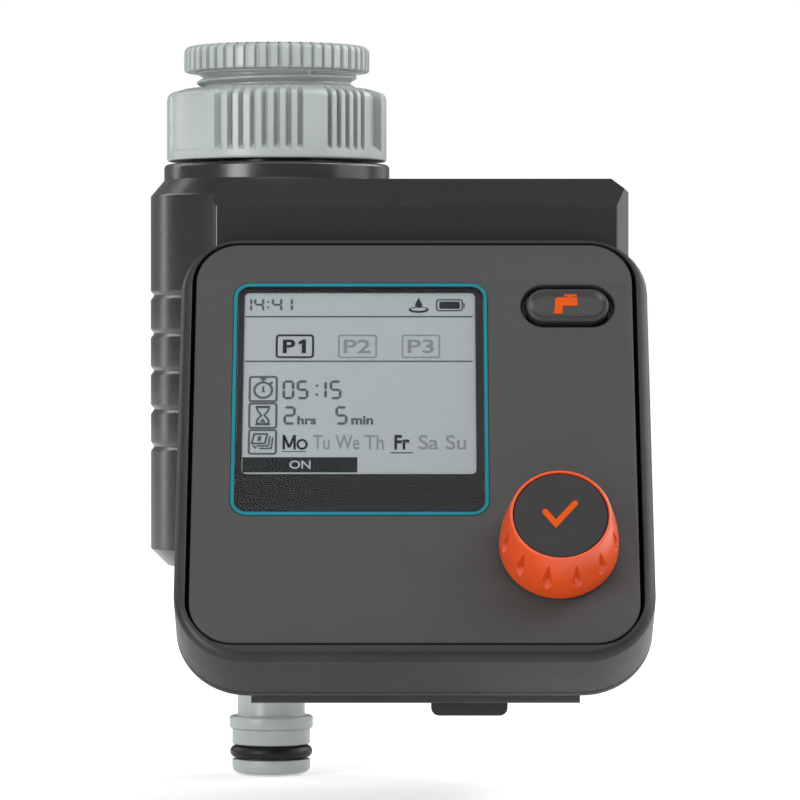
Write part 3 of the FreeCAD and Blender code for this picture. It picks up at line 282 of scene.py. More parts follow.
# ---- drawing helpers -------------------------------------------------------------------
def outline(corners, step=None, per_arc=4):
    """Closed outline through (a, b, rounding) corners; runs longer than `step` are divided."""
    points = []
    for index, (a, b, rounding) in enumerate(corners):
        here = Vector((a, b))
        if not rounding:
            points.append(here)
            continue
        to_before = (Vector(corners[index - 1][:2]) - here).normalized()
        to_after = (Vector(corners[(index + 1) % len(corners)][:2]) - here).normalized()
        half = to_before.angle(to_after) / 2
        centre = here + (to_before + to_after).normalized() * rounding / sin(half)
        enter = here + to_before * rounding / tan(half) - centre
        leave = here + to_after * rounding / tan(half) - centre
        start = math.atan2(enter.y, enter.x)
        sweep = (math.atan2(leave.y, leave.x) - start + pi) % (2 * pi) - pi
        for k in range(per_arc + 1):
            angle = start + sweep * k / per_arc
            points.append(centre + rounding * Vector((cos(angle), sin(angle))))
    if step is None:
        return points
    divided = []
    for index, here in enumerate(points):
        following = points[(index + 1) % len(points)]
        parts = max(1, math.ceil((following - here).length / step))
        divided += [here.lerp(following, k / parts) for k in range(parts)]
    return divided


def rounded_box(u, v, corners, w, per_arc=8):
    """Loop round a rectangle at height w; `corners` is (radius at low v, radius at high v)."""
    low, high = corners
    flat = outline([(u[0], v[0], low), (u[1], v[0], low), (u[1], v[1], high), (u[0], v[1], high)],
                   per_arc=per_arc)
    return [(p.x, p.y, w) for p in flat]


def bridged(loops, joined_ends):
    """Vertices and quads of loops with equal counts, one after another."""
    count = len(loops[0])
    rows = len(loops)
    faces = []
    for row in range(rows if joined_ends else rows - 1):
        here, there = row * count, (row + 1) % rows * count
        for k in range(count):
            after = (k + 1) % count
            faces.append((here + k, here + after, there + after, there + k))
    if not joined_ends:
        faces.append(tuple(reversed(range(count))))
        faces.append(tuple(range((rows - 1) * count, rows * count)))
    return [point for loop in loops for point in loop], faces


def mesh_from(name, verts, faces, place=None):
    mesh = bpy.data.meshes.new(name)
    mesh.from_pydata([Vector(v) * MM for v in verts], [], faces)
    work = bmesh.new()
    work.from_mesh(mesh)
    bmesh.ops.remove_doubles(work, verts=work.verts, dist=1e-7)
    bmesh.ops.recalc_face_normals(work, faces=work.faces)
    work.to_mesh(mesh)
    work.free()
    if place is not None:
        mesh.transform(place)
    return mesh


def shade_flats_flat(mesh, limit=50):
    """Weighs each corner's shading by face area, so that rounded edges don't shade the flats."""
    least = cos(radians(limit))
    nearby = [[] for _ in mesh.vertices]
    for face in mesh.polygons:
        for vertex in face.vertices:
            nearby[vertex].append(face)
    normals = []
    for face in mesh.polygons:
        for vertex in face.vertices:
            alike = [other for other in nearby[vertex] if other.normal.dot(face.normal) > least]
            normals.append(sum((other.normal * other.area for other in alike), Vector()).normalized())
    mesh.normals_split_custom_set(normals)


def piece(name, mesh, body, material, stands_for=(), smooth=32, flats=False):
    """Puts a finished mesh in the scene as a piece of the object."""
    obj = bpy.data.objects.new(name, mesh)
    bpy.context.scene.collection.objects.link(obj)
    mesh.polygons.foreach_set("use_smooth", [True] * len(mesh.polygons))
    mesh.set_sharp_from_angle(angle=radians(smooth))
    if flats:
        shade_flats_flat(mesh)
    mesh.materials.clear()
    mesh.materials.append(MATERIALS[material])
    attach(obj, body)
    if stands_for:
        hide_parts(*stands_for)
    return obj


def revolved(name, section, angles, shape=None, at=(0.0, 0.0), place=None):
    """Closed (radius, height) section turned about an axis; angles count from -Y towards +X."""
    loops = []
    for degrees in angles:
        s, c = sin(radians(degrees)), cos(radians(degrees))
        loop = []
        for r, z in section:
            radius = shape(r, z, degrees) if shape else r
            loop.append((at[0] + radius * s, at[1] - radius * c, z))
        loops.append(loop)
    return mesh_from(name, *bridged(loops, True), place)


def even_angles(count):
    return [360.0 * k / count for k in range(count)]


def joined(name, meshes):
    work = bmesh.new()
    for mesh in meshes:
        work.from_mesh(mesh)
    mesh = bpy.data.meshes.new(name)
    work.to_mesh(mesh)
    work.free()
    return mesh


def softened(name, node, width_mm, limit=38, segments=3):
    """Copy of a CAD node's shape with its sharp edges rounded."""
    source = frame["nodes"][node].data
    mesh = bpy.data.meshes.new(name)
    mesh.from_pydata([v.co for v in source.vertices], [], [tuple(p.vertices) for p in source.polygons])
    work = bmesh.new()
    work.from_mesh(mesh)
    bmesh.ops.remove_doubles(work, verts=work.verts, dist=2e-6)
    bmesh.ops.dissolve_limit(work, angle_limit=radians(0.6), verts=work.verts, edges=work.edges)
    work.to_mesh(mesh)
    work.free()
    holder = bpy.data.objects.new(name, mesh)
    bpy.context.scene.collection.objects.link(holder)
    bevel = holder.modifiers.new("edges", "BEVEL")
    bevel.width = width_mm * MM
    bevel.segments = segments
    bevel.limit_method = "ANGLE"
    bevel.angle_limit = radians(limit)
    bpy.context.view_layer.update()
    graph = bpy.context.evaluated_depsgraph_get()
    result = bpy.data.meshes.new_from_object(holder.evaluated_get(graph))
    bpy.data.objects.remove(holder)
    return result


def drawn(name, loops, low_w, high_w, rounding=0.0, place=PANEL):
    """Flat shape with holes, from closed loops of (u, v) points, drawn out from low_w to high_w."""
    curve = bpy.data.curves.new(name, "CURVE")
    curve.dimensions = "2D"
    curve.fill_mode = "BOTH"
    curve.extrude = (high_w - low_w) / 2 - rounding
    curve.bevel_depth = rounding
    curve.bevel_resolution = 2
    curve.offset = -rounding
    for loop in loops:
        spline = curve.splines.new("POLY")
        spline.points.add(len(loop) - 1)
        for point, (u, v) in zip(spline.points, loop):
            point.co = (u, v, 0, 1)
        spline.use_cyclic_u = True
    return meshed(name, curve, (low_w + high_w) / 2, place)


def meshed(name, curve, middle_w, place):
    """Mesh of a curve drawn in millimetres, lifted to its height and put in place."""
    holder = bpy.data.objects.new(name, curve)
    bpy.context.scene.collection.objects.link(holder)
    bpy.context.view_layer.update()
    graph = bpy.context.evaluated_depsgraph_get()
    mesh = bpy.data.meshes.new_from_object(holder.evaluated_get(graph))
    bpy.data.objects.remove(holder)
    mesh.transform(Matrix.Translation((0, 0, middle_w)))
    mesh.transform(Matrix.Scale(MM, 4))
    work = bmesh.new()
    work.from_mesh(mesh)
    bmesh.ops.remove_doubles(work, verts=work.verts, dist=1e-8)
    work.to_mesh(mesh)
    work.free()
    mesh.transform(place)
    return mesh


def flat_box(u, v, radius=0.0, per_arc=4):
    return [(p.x, p.y) for p in outline(
        [(u[0], v[0], radius), (u[1], v[0], radius), (u[1], v[1], radius), (u[0], v[1], radius)],
        per_arc=per_arc)]


def centred_box(half, radius):
    """Rounded rectangle about the panel's origin; `half` is half its width and half its height."""
    return flat_box((-half[0], half[0]), (-half[1], half[1]), radius, 10)


def circle(at, radius, count=32, squeeze=1.0):
    return [(at[0] + radius * cos(2 * pi * k / count),
             at[1] + radius * squeeze * sin(2 * pi * k / count)) for k in range(count)]


def bar(start, end, width):
    """Outline of a straight stroke."""
    a, b = Vector(start), Vector(end)
    along = (b - a).normalized() * width / 2
    side = Vector((-along.y, along.x))
    return [tuple(p) for p in (a + side, a - side, b - side, b + side)]


def angle_from(middle, degrees):
    """How far an angle is from `middle`, between -180 and 180 degrees."""
    return (degrees - middle + 180.0) % 360.0 - 180.0


# ---- tap adapter -----------------------------------------------------------------------
ADAPTER_RIBS = 51
FIRST_RIB_AT = -2.0
HEAD_R = box_mm("tap_adapter")[1].x
HEAD_Z = -5.3
ADAPTER_FOOT_Z = box_mm("tap_adapter")[0].z
HEAD_RIB_DEPTH = 0.8
SEAM_AT = 26.0
OUTER_THREAD_R, OUTER_PITCH = 16.62, 2.309
INNER_THREAD_R, INNER_PITCH = 13.25, 1.814


def thread_wave(height, degrees, pitch):
    """0 at a thread's root and 1 at its crest, with flat crests and roots; right-handed."""
    phase = (height / pitch - degrees / 360.0) % 1.0
    slope = abs(2 * phase - 1) * 1.5 - 0.25
    return max(0.0, min(1.0, slope))


def head_shape(r, z, degrees):
    """Ribs on the head's side: flat crests, and grooves with one slanted wall."""
    if r < HEAD_R - 1.3:
        return r
    phase = (degrees - FIRST_RIB_AT) * ADAPTER_RIBS / 360.0 % 1.0
    if phase < 0.52:
        cut = 0.06 * phase / 0.52
    elif phase < 0.60:
        cut = 0.06 + 0.94 * (phase - 0.52) / 0.08
    elif phase < 0.80:
        cut = 1.0
    else:
        cut = (1.0 - phase) / 0.20
    return r - HEAD_RIB_DEPTH * cut


head_section = outline([(13.6, 0, 0), (HEAD_R - 0.05, 0, 1.3), (HEAD_R - 0.05, HEAD_Z, 0.5),
                        (16.0, HEAD_Z, 0), (16.0, -4.0, 0), (14.2, -4.0, 0), (14.2, -0.6, 0)], 0.8)
rib_phases = (0.0, 0.26, 0.52, 0.56, 0.60, 0.70, 0.80, 0.87, 0.94)
head_angles = [(k + phase) * 360.0 / ADAPTER_RIBS + FIRST_RIB_AT
               for k in range(ADAPTER_RIBS) for phase in rib_phases]
adapter_head = revolved("adapter_head", head_section, head_angles, head_shape)


def adapter_thread_shape(r, z, degrees):
    """Thread outside and inside, with the end of a mould seam just under the head."""
    if r > 16.0 and z > HEAD_Z - 1.7 and abs(angle_from(SEAM_AT, degrees)) < 1.5:
        return r + 0.2
    if r > 16.0 and z > ADAPTER_FOOT_Z + 0.7:
        fade = min(1.0, max(0.0, (HEAD_Z - 0.3 - z) / 0.6))
        return r - 1.3 * (1 - thread_wave(z, degrees, OUTER_PITCH)) * fade
    if abs(r - INNER_THREAD_R) < 0.05 and z < -0.8:
        return r - 0.9 * thread_wave(z, degrees, INNER_PITCH)
    return r


thread_section = outline([(INNER_THREAD_R, -0.6, 0), (14.4, -0.2, 0), (14.4, -4.2, 0),
                          (16.5, HEAD_Z + 0.1, 0), (OUTER_THREAD_R, HEAD_Z - 0.1, 0),
                          (OUTER_THREAD_R, ADAPTER_FOOT_Z, 0.7), (10.5, ADAPTER_FOOT_Z, 0.3),
                          (10.5, -12.0, 0.3), (INNER_THREAD_R, -12.0, 0)], 0.22)
adapter_thread = revolved("adapter_thread", thread_section, even_angles(180), adapter_thread_shape)
piece("adapter_body", joined("adapter_body", [adapter_head, adapter_thread]), "tap_adapter",
      "light_grey_plastic", stands_for=("tap_adapter",), smooth=28)


# ---- union nut --------------------------------------------------------------------------
NUT_R = box_mm("union_nut")[1].x
NUT_TOP_Z, NUT_FOOT_Z = box_mm("union_nut")[1].z, box_mm("union_nut")[0].z
NUT_BAND_Z = -22.1
NUT_CROWN_R = NUT_R - 3.5
NUT_BORE_R = 16.92
GROOVE_RAMP = 0.45
GROOVE_WALL = 0.4
NUT_PANEL_WALL = 0.8
NUT_PANEL_DEPTH = 0.4


def nut_grooves():
    """(middle, width, depth) in degrees and millimetres for half a turn of the grip."""
    grooves = [(-30.2, 5.2, 1.35), (65.5, 14.0, 1.6)]
    grooves += [(-23.3 + 6.15 * k, 3.5, 1.35) for k in range(7)]
    grooves += [(30.0 + 5.5 * k, 3.3, 1.4) for k in range(5)]
    return [(middle + 180.0 * half, width, depth) for half in range(2)
            for middle, width, depth in grooves]


NUT_GROOVES = nut_grooves()
NUT_PANELS = [(-57.0 + 180.0 * half, 33.0) for half in range(2)]


def groove_ramp(width):
    """How many degrees a groove's slanted wall takes."""
    return min(width * GROOVE_RAMP, 2.0)


def groove_wall(offset, width):
    """0 on the crests and 1 at a groove's floor; the left wall is a ramp, the right one steep."""
    from_left, from_right = width / 2 + offset, width / 2 - offset
    return max(0.0, min(1.0, from_left / groove_ramp(width), from_right / GROOVE_WALL))


def nut_shape(r, z, degrees):
    if r < NUT_CROWN_R:
        if abs(r - NUT_BORE_R) < 0.08:
            return r - 0.7 * (1 - thread_wave(z, degrees, OUTER_PITCH))
        return r
    cut = 0.0
    for middle, width, depth in NUT_GROOVES:
        wall = groove_wall(angle_from(middle, degrees), width)
        foot = min(1.0, max(0.0, (z - NUT_BAND_Z) / (0.5 + 0.9 * wall)))
        cut = max(cut, depth * wall * foot)
    for middle, width in NUT_PANELS:
        gap = abs(angle_from(middle, degrees))
        if gap < width / 2 and z < NUT_TOP_Z - 1.6:
            wall = min(1.0, (width / 2 - gap) / NUT_PANEL_WALL)
            foot = min(1.0, max(0.0, (z - NUT_BAND_Z) / 0.35))
            cut = max(cut, NUT_PANEL_DEPTH * wall * foot)
    return r - cut * min(1.0, (r - NUT_CROWN_R) / 1.5)


def nut_angles():
    """Every angle where a groove or panel bends, with the stretches between them divided."""
    marks = set()
    for middle, width, _ in NUT_GROOVES:
        ramp = groove_ramp(width)
        half = width / 2
        for offset in (-half, ramp / 2 - half, ramp - half, half - GROOVE_WALL, half):
            marks.add(round((middle + offset) % 360.0, 3))
    for middle, width in NUT_PANELS:
        for offset in (-width / 2, NUT_PANEL_WALL - width / 2, width / 2 - NUT_PANEL_WALL, width / 2):
            marks.add(round((middle + offset) % 360.0, 3))
    marks = sorted(marks)
    angles = []
    for here, following in zip(marks, marks[1:] + [marks[0] + 360.0]):
        parts = max(1, math.ceil((following - here) / 1.6))
        angles += [here + (following - here) * k / parts for k in range(parts)]
    return angles


nut_section = outline([(NUT_BORE_R, NUT_TOP_Z, 0.3), (NUT_CROWN_R, NUT_TOP_Z, 0.5),
                       (NUT_R, NUT_TOP_Z - 1.0, 1.6), (NUT_R, NUT_BAND_Z + 0.01, 0),
                       (NUT_R, NUT_BAND_Z - 0.25, 0), (NUT_R, NUT_FOOT_Z, 0.45),
                       (13.4, NUT_FOOT_Z, 0), (13.4, -22.2, 0), (NUT_BORE_R, -22.2, 0)], 0.45)
piece("union_nut_grip", revolved("union_nut_grip", nut_section, nut_angles(), nut_shape),
      "union_nut", "light_grey_plastic", stands_for=("union_nut",), smooth=26)


# ---- outlet nipple and its O-ring ---------------------------------------------------------
NIPPLE_FOOT_Z = box_mm("outlet_nipple")[0].z
NIPPLE_BORE_R, NIPPLE_TIP_R, NIPPLE_STEM_R = 4.6, 8.1, 7.0
O_RING_SEAT_R, O_RING_SEAT_Z = 5.9, (-147.9, -144.8)
COLLAR_R, COLLAR_Z = 8.7, (-141.6, -138.9)
SHOULDER_R, SHOULDER_Z = 10.0, (-126.0, -122.0)
PLUG_R, PLUG_TOP_Z = 9.0, -104.4
PLUG_SEAT_R, PLUG_SEAT_Z = 7.4, (-111.0, -108.4)
nipple_section = outline([
    (NIPPLE_BORE_R, NIPPLE_FOOT_Z, 0.5), (NIPPLE_TIP_R, NIPPLE_FOOT_Z, 1.4),
    (NIPPLE_TIP_R, O_RING_SEAT_Z[0], 0.25), (O_RING_SEAT_R, O_RING_SEAT_Z[0], 0.15),
    (O_RING_SEAT_R, O_RING_SEAT_Z[1], 0.15), (NIPPLE_TIP_R, O_RING_SEAT_Z[1], 0.25),
    (NIPPLE_TIP_R, COLLAR_Z[0], 0.2), (COLLAR_R, COLLAR_Z[0], 0.6),
    (COLLAR_R, COLLAR_Z[1], 0.6), (NIPPLE_STEM_R, COLLAR_Z[1], 0.5),
    (NIPPLE_STEM_R, SHOULDER_Z[0], 0.5), (SHOULDER_R, SHOULDER_Z[0], 0.5),
    (SHOULDER_R, SHOULDER_Z[1], 0), (PLUG_R, SHOULDER_Z[1], 0),
    (PLUG_R, PLUG_SEAT_Z[0], 0), (PLUG_SEAT_R, PLUG_SEAT_Z[0], 0),
    (PLUG_SEAT_R, PLUG_SEAT_Z[1], 0), (PLUG_R, PLUG_SEAT_Z[1], 0),
    (PLUG_R, PLUG_TOP_Z, 0.3), (NIPPLE_BORE_R, PLUG_TOP_Z, 0)])
piece("hose_nipple", revolved("hose_nipple", nipple_section, even_angles(128), at=(OUTLET_X, 0)),
      "valve_unit", "light_grey_plastic", stands_for=("outlet_nipple",))


def round_section(radius, thickness, z, count=24):
    return [(radius + thickness * cos(2 * pi * k / count), z + thickness * sin(2 * pi * k / count))
            for k in range(count)]


o_ring_section = round_section(7.25, 1.3, sum(O_RING_SEAT_Z) / 2)
piece("nipple_o_ring", revolved("nipple_o_ring", o_ring_section, even_angles(96), at=(OUTLET_X, 0)),
      "valve_unit", "rubber_black", stands_for=("outlet_o_ring",), smooth=60)


# ---- housing and case ------------------------------------------------------------------------
piece("housing_shell", softened("housing_shell", "valve_housing", 0.35), "valve_unit",
      "black_housing", stands_for=("valve_housing",), smooth=30, flats=True)
piece("column_foot", softened("column_foot", "column_end_cap", 0.3), "valve_unit",
      "black_housing", stands_for=("column_end_cap",), smooth=30, flats=True)
piece("rear_case", softened("rear_case", "control_rear_shell", 0.3), "control_unit",
      "case_black", stands_for=("control_rear_shell",), smooth=30, flats=True)
piece("battery_hatch", softened("battery_hatch", "battery_door", 0.25), "battery_door",
      "case_black", stands_for=("battery_door",), smooth=30, flats=True)


SKIRT_FOOT_W = -14.4
LEDGE_W = (-4.0, -2.0)
RIM_ROUNDING = 1.6


def front_frame():
    """Rim and side walls of the front shell, with the ledge that the plate lies on."""
    def tray(side, top, w):
        return rounded_box((side - 46, 46 - side), (side - 47.6, 45.6 - top),
                           (14 - side, 12 - side), w, 10)

    def seat(grown, w):
        return rounded_box((-43.8 - grown, 43.8 + grown), (-44.5 - grown, 44.5 + grown),
                           (9.2 + grown, 9.2 + grown), w, 10)

    def ledge(w):
        return rounded_box((-41.4, 41.4), (-41.9, 41.9), (12, 12), w, 10)

    def inner_wall(w):
        return rounded_box((-43.2, 43.2), (-44.6, 42.6), (11, 9), w, 10)

    loops = [tray(0.25, 0.25, SKIRT_FOOT_W), tray(0.0, 0.0, SKIRT_FOOT_W + 0.25),
             tray(0.0, 0.0, -10.0), tray(0.0, 0.0, -RIM_ROUNDING)]
    for a in range(10, 91, 10):
        drawn_in = 1 - cos(radians(a))
        loops.append(tray(1.9 * drawn_in, 0.8 * drawn_in, RIM_ROUNDING * (sin(radians(a)) - 1)))
    loops += [seat(0.2 * (1 - sin(radians(a))), 0.2 * (cos(radians(a)) - 1)) for a in (0, 30, 60, 90)]
    loops += [seat(0.0, LEDGE_W[1]), ledge(LEDGE_W[1]), ledge(LEDGE_W[0]), inner_wall(LEDGE_W[0]),
              inner_wall(SKIRT_FOOT_W)]
    return mesh_from("front_frame", *bridged(loops, True), PANEL)


piece("front_frame", front_frame(), "control_unit", "case_black",
      stands_for=("control_front_shell",), smooth=30)


def pill_loop(inset, w):
    """Loop round the pill button, drawn in by `inset` from its cap's outline."""
    u = (PILL_AT[0] - PILL_SIZE[0] / 2 + inset, PILL_AT[0] + PILL_SIZE[0] / 2 - inset)
    v = (PILL_AT[1] - PILL_SIZE[1] / 2 + inset, PILL_AT[1] + PILL_SIZE[1] / 2 - inset)
    end = PILL_SIZE[1] / 2 - inset - 0.01
    return rounded_box(u, v, (end, end), w, 14)


plate_loops = [centred_box((43, 44.1), 8.6),
               flat_box((-35.52, 14.34), (-16.72, 35.12), 3.22, 8),
               [(u, v) for u, v, _ in pill_loop(-1.1, 0)],
               circle(KNOB_AT, 7.2, 64)]
piece("panel_plate", drawn("panel_plate", plate_loops, LEDGE_W[1], 0.0, 0.35), "control_unit",
      "panel_grey", stands_for=("front_plate",), smooth=30)

# A black, dull ring laid in the floor of the gap round the plate so that the gap reads dark: painted shade.
gap_shade_loops = [centred_box((43.78, 44.48), 9.18), centred_box((42.6, 43.7), 8.2)]
piece("plate_gap_shade", drawn("plate_gap_shade", gap_shade_loops, -2.6, -1.8), "control_unit", "gap_shade_black")


# ---- knob and its press button ----------------------------------------------------------------
DIMPLES = 12
FIRST_DIMPLE_AT = -13.5
DIMPLE_W = (4.1, 10.6)
DIMPLE_WIDEST = 0.22
DIMPLE_HALF = 1.12
DIMPLE_DEPTH = 1.15
KNOB_FOOT_R = 11.48
KNOB_LIP_R = 9.75
KNOB_SIDE_W = (0.8, 12.3)


def knob_shape(r, w, degrees):
    """Leaf-shaped dimples round the side: widest near the foot and pointed at the top."""
    if r < KNOB_LIP_R + 0.05 or not DIMPLE_W[0] < w < DIMPLE_W[1]:
        return r
    pitch = 360.0 / DIMPLES
    gap = (degrees - FIRST_DIMPLE_AT + pitch / 2) % pitch - pitch / 2
    across = abs(radians(gap)) * r
    rise = (w - DIMPLE_W[0]) / (DIMPLE_W[1] - DIMPLE_W[0])
    past_widest = max(0.0, rise - DIMPLE_WIDEST) / (1 - DIMPLE_WIDEST)
    half = DIMPLE_HALF * min(1.0, math.sqrt(rise / DIMPLE_WIDEST)) * (1 - past_widest) ** 0.8
    if across >= half:
        return r
    return r - DIMPLE_DEPTH * (1 - (across / half) ** 2) ** 1.1 * min(1.0, half / DIMPLE_HALF) ** 0.8


def knob_side(w):
    """Outer radius of the knob: nearly upright at its foot, drawing in towards the top."""
    rise = (w - KNOB_SIDE_W[0]) / (KNOB_SIDE_W[1] - KNOB_SIDE_W[0])
    return KNOB_FOOT_R - (KNOB_FOOT_R - KNOB_LIP_R) * rise ** 1.7


def knob_section():
    low, high = KNOB_SIDE_W
    side = [(KNOB_FOOT_R - 0.4, 0.3), (KNOB_FOOT_R - 0.12, 0.4), (KNOB_FOOT_R, 0.65)]
    side += [(knob_side(w), w) for w in (low + (high - low) * k / 50 for k in range(51))]
    top = [(9.7, 12.6), (9.6, 12.85), (9.45, 12.97), (9.25, 13.0), (9.12, 12.95), (9.08, 12.8)]
    inner = [(9.08, 11.0), (9.08, 9.6), (3.6, 9.6), (3.6, 8.0), (9.6, 8.0), (9.6, 4.0), (9.6, 0.3)]
    return side + top + inner


knob = revolved("knob_grip", knob_section(), even_angles(DIMPLES * 40), knob_shape, KNOB_AT, PANEL)
piece("knob_grip", knob, "knob", "orange_plastic", stands_for=("knob_ring",), smooth=30)


def ok_cap_loops():
    """Cap on its stem: a faintly dished disc with a rounded edge."""
    profile = [(3.0, -4.5), (3.0, 10.8), (8.8, 10.8), (9.0, 11.0), (9.0, 12.4), (8.95, 12.62),
               (8.8, 12.76), (8.5, 12.8), (6.0, 12.77), (3.0, 12.74), (0.6, 12.73)]
    return [[(KNOB_AT[0] + r * cos(2 * pi * k / 96), KNOB_AT[1] + r * sin(2 * pi * k / 96), w)
             for k in range(96)] for r, w in profile]


piece("ok_cap", mesh_from("ok_cap", *bridged(ok_cap_loops(), False), PANEL), "ok_button",
      "cap_grey", stands_for=("ok_button",), smooth=30)

TICK = ((24.69, -22.84), (26.65, -25.4), (30.37, -20.99))


def tick_loop(width=1.15):
    """Tick mark as one stroke, with a mitred corner and rounded ends."""
    start, corner, end = (Vector(p) for p in TICK)
    first, second = (corner - start).normalized(), (end - corner).normalized()
    half = width / 2
    side_a, side_b = Vector((-first.y, first.x)), Vector((-second.y, second.x))
    mitre = (side_a + side_b).normalized()
    reach = half / mitre.dot(side_a)
    angles = [pi * k / 6 for k in range(6, -1, -1)]
    loop = [start - half * (side_a * cos(a) + first * sin(a)) for a in angles]
    loop.append(corner - mitre * reach)
    loop += [end + half * (side_b * cos(a) + second * sin(a)) for a in angles]
    loop.append(corner + mitre * reach)
    return [tuple(p) for p in loop]


piece("ok_tick", drawn("ok_tick", [tick_loop()], 12.65, 12.80), "ok_button", "orange_mark")


# ---- pill button ---------------------------------------------------------------------------------
def pill_cap():
    """Pill-shaped cap with a raised edge round a shallow dish, on its flange."""
    profile = [(-1.65, -4.2), (-1.65, -3.4), (0.0, -3.4), (0.0, 0.05), (0.06, 0.25), (0.2, 0.39),
               (0.42, 0.45), (0.6, 0.42), (0.85, 0.27), (1.1, 0.07), (1.35, -0.03), (1.9, -0.08),
               (3.2, -0.1)]
    loops = [pill_loop(inset, w) for inset, w in profile]
    return mesh_from("pill_cap", *bridged(loops, False), PANEL)


piece("pill_cap", pill_cap(), "manual_button", "button_grey", stands_for=("manual_button",), smooth=40)


def tap_icon():
    """Small tap: handle, body and spout."""
    u, v = PILL_AT
    body = [(-2.65, 1.35), (-2.2, 1.8), (1.76, 1.8), (1.76, -0.12), (-1.1, -0.12), (-1.3, -1.9),
            (-3.0, -1.9), (-2.7, -0.4)]
    handle = [(-0.8, 2.02), (1.6, 2.02), (1.6, 2.5), (-0.8, 2.5)]
    stem = [(-0.1, 1.75), (0.95, 1.75), (0.95, 2.05), (-0.1, 2.05)]
    shapes = [drawn("tap", [[(u + 0.2 + a, v + 0.1 + b) for a, b in loop]], -0.12, 0.06)
              for loop in (body, handle, stem)]
    return joined("tap_icon", shapes)


piece("tap_icon", tap_icon(), "manual_button", "orange_mark")


# ---- lens and what the display shows -------------------------------------------------------
LENS_U, LENS_V = (-34.78, 13.6), (-15.98, 34.38)
LENS_CORNER = 2.48
LENS_EDGE_WIDTH = 0.16


def lens_outline(inset):
    u, v = ((low + inset, high - inset) for low, high in (LENS_U, LENS_V))
    return flat_box(u, v, LENS_CORNER - inset, 8)


lens_loop = lens_outline(LENS_EDGE_WIDTH)
piece("lens_edge", drawn("lens_edge", [lens_outline(0), lens_loop], -0.78, -0.02), "control_unit",
      "bezel_print")
piece("display_lens", drawn("display_lens", [lens_loop], -0.74, 0.0, 0.1), "control_unit",
      "clear_window", stands_for=("display_window",), smooth=30)


def ink(loops):
    """Print just above the face of the display's glass."""
    return drawn("ink", loops, LCD_FACE_W - 0.01, LCD_FACE_W + 0.03)


def offset_line(points, amount, closed):
    """Points moved sideways by `amount`, with mitred corners."""
    count = len(points)
    moved = []
    for index, here in enumerate(points):
        sides = []
        for first, second in ((index - 1, index), (index, index + 1)):
            if closed or 0 <= first and second < count:
                along = (points[second % count] - points[first]).normalized()
                sides.append(Vector((-along.y, along.x)))
        mitre = sum(sides, Vector((0, 0))).normalized()
        moved.append(here + mitre * amount / mitre.dot(sides[0]))
    return moved


def stroke(points, width, closed=False):
    """Loops round a line of some width through the points."""
    points = [Vector(p) for p in points]
    left = offset_line(points, width / 2, closed)
    right = offset_line(points, -width / 2, closed)
    if closed:
        return [[tuple(p) for p in left], [tuple(p) for p in right]]
    return [[tuple(p) for p in left + right[::-1]]]


def lettering(text, u, v, weight=0.0):
    """Letters stretched to fill a box."""
    curve = bpy.data.curves.new("letters", "FONT")
    curve.body = text
    curve.extrude = 0.02
    curve.offset = weight
    mesh = meshed("letters", curve, 0.0, Matrix.Identity(4))
    points = [vertex.co for vertex in mesh.vertices]
    low = Vector(map(min, *points))
    high = Vector(map(max, *points))
    grow = Matrix.Diagonal(((u[1] - u[0]) * MM / (high.x - low.x),
                            (v[1] - v[0]) * MM / (high.y - low.y), 1, 1))
    mesh.transform(grow @ Matrix.Translation((-low.x, -low.y, 0)))
    mesh.transform(Matrix.Translation((u[0] * MM, v[0] * MM, (LCD_FACE_W + 0.01) * MM)))
    mesh.transform(PANEL)
    return mesh


SEGMENTS = {"0": "abcdef", "1": "bc", "2": "abged", "4": "fgbc", "5": "afgcd"}


def seven_segment(digit, u, v, width):
    """One digit of a seven-segment display; u and v bound its outside."""
    left, right = u[0] + width / 2, u[1] - width / 2
    low, high = v[0] + width / 2, v[1] - width / 2
    middle = (low + high) / 2
    lines = {
        "a": ((left, high), (right, high)), "g": ((left, middle), (right, middle)),
        "d": ((left, low), (right, low)), "f": ((left, high), (left, middle)),
        "b": ((right, high), (right, middle)), "e": ((left, middle), (left, low)),
        "c": ((right, middle), (right, low)),
    }
    parts = []
    for letter in SEGMENTS[digit]:
        start, end = (Vector(p) for p in lines[letter])
        along = (end - start).normalized() * width
        side = Vector((-along.y, along.x)) / 2
        near, far = start + along * 0.12, end - along * 0.12
        loop = [near, near + along * 0.4 + side, far - along * 0.4 + side, far,
                far - along * 0.4 - side, near + along * 0.4 - side]
        parts.append(ink([[tuple(p) for p in loop]]))
    return parts


def digits(row, width, places):
    """Seven-segment digits of one row, each with the u range that it fills."""
    return [part for digit, u in places for part in seven_segment(digit, u, row, width)]


def capital_m(u, v, width):
    half = width / 2
    middle = sum(u) / 2
    foot, top = v
    lines = [((u[0] + half, foot), (u[0] + half, top)), ((u[1] - half, foot), (u[1] - half, top)),
             ((u[0] + half, top - 0.1), (middle, foot + 0.5)),
             ((u[1] - half, top - 0.1), (middle, foot + 0.5))]
    return [ink([bar(*line, width)]) for line in lines]


def framed(u, v, radius, line):
    inner_u, inner_v = (u[0] + line, u[1] - line), (v[0] + line, v[1] - line)
    return ink([flat_box(u, v, radius), flat_box(inner_u, inner_v, max(radius - line, 0.05))])


CLOCK_ROW, CLOCK_STROKE = (29.25, 32.5), 0.48
RULES_V = (28.15, 18.0)
PROGRAMME_LETTERS = (19.85, 22.95)
START_ROW, LENGTH_ROW, UNIT_ROW, DIGIT_STROKE = (9.45, 13.7), (3.75, 7.9), (3.8, 5.75), 0.55
DAY_ROW = (-1.75, 1.5)
ICON_U = (-32.35, -26.65)
ICON_ROWS = ((8.8, 14.7), (2.86, 8.73), (-2.9, 2.79))


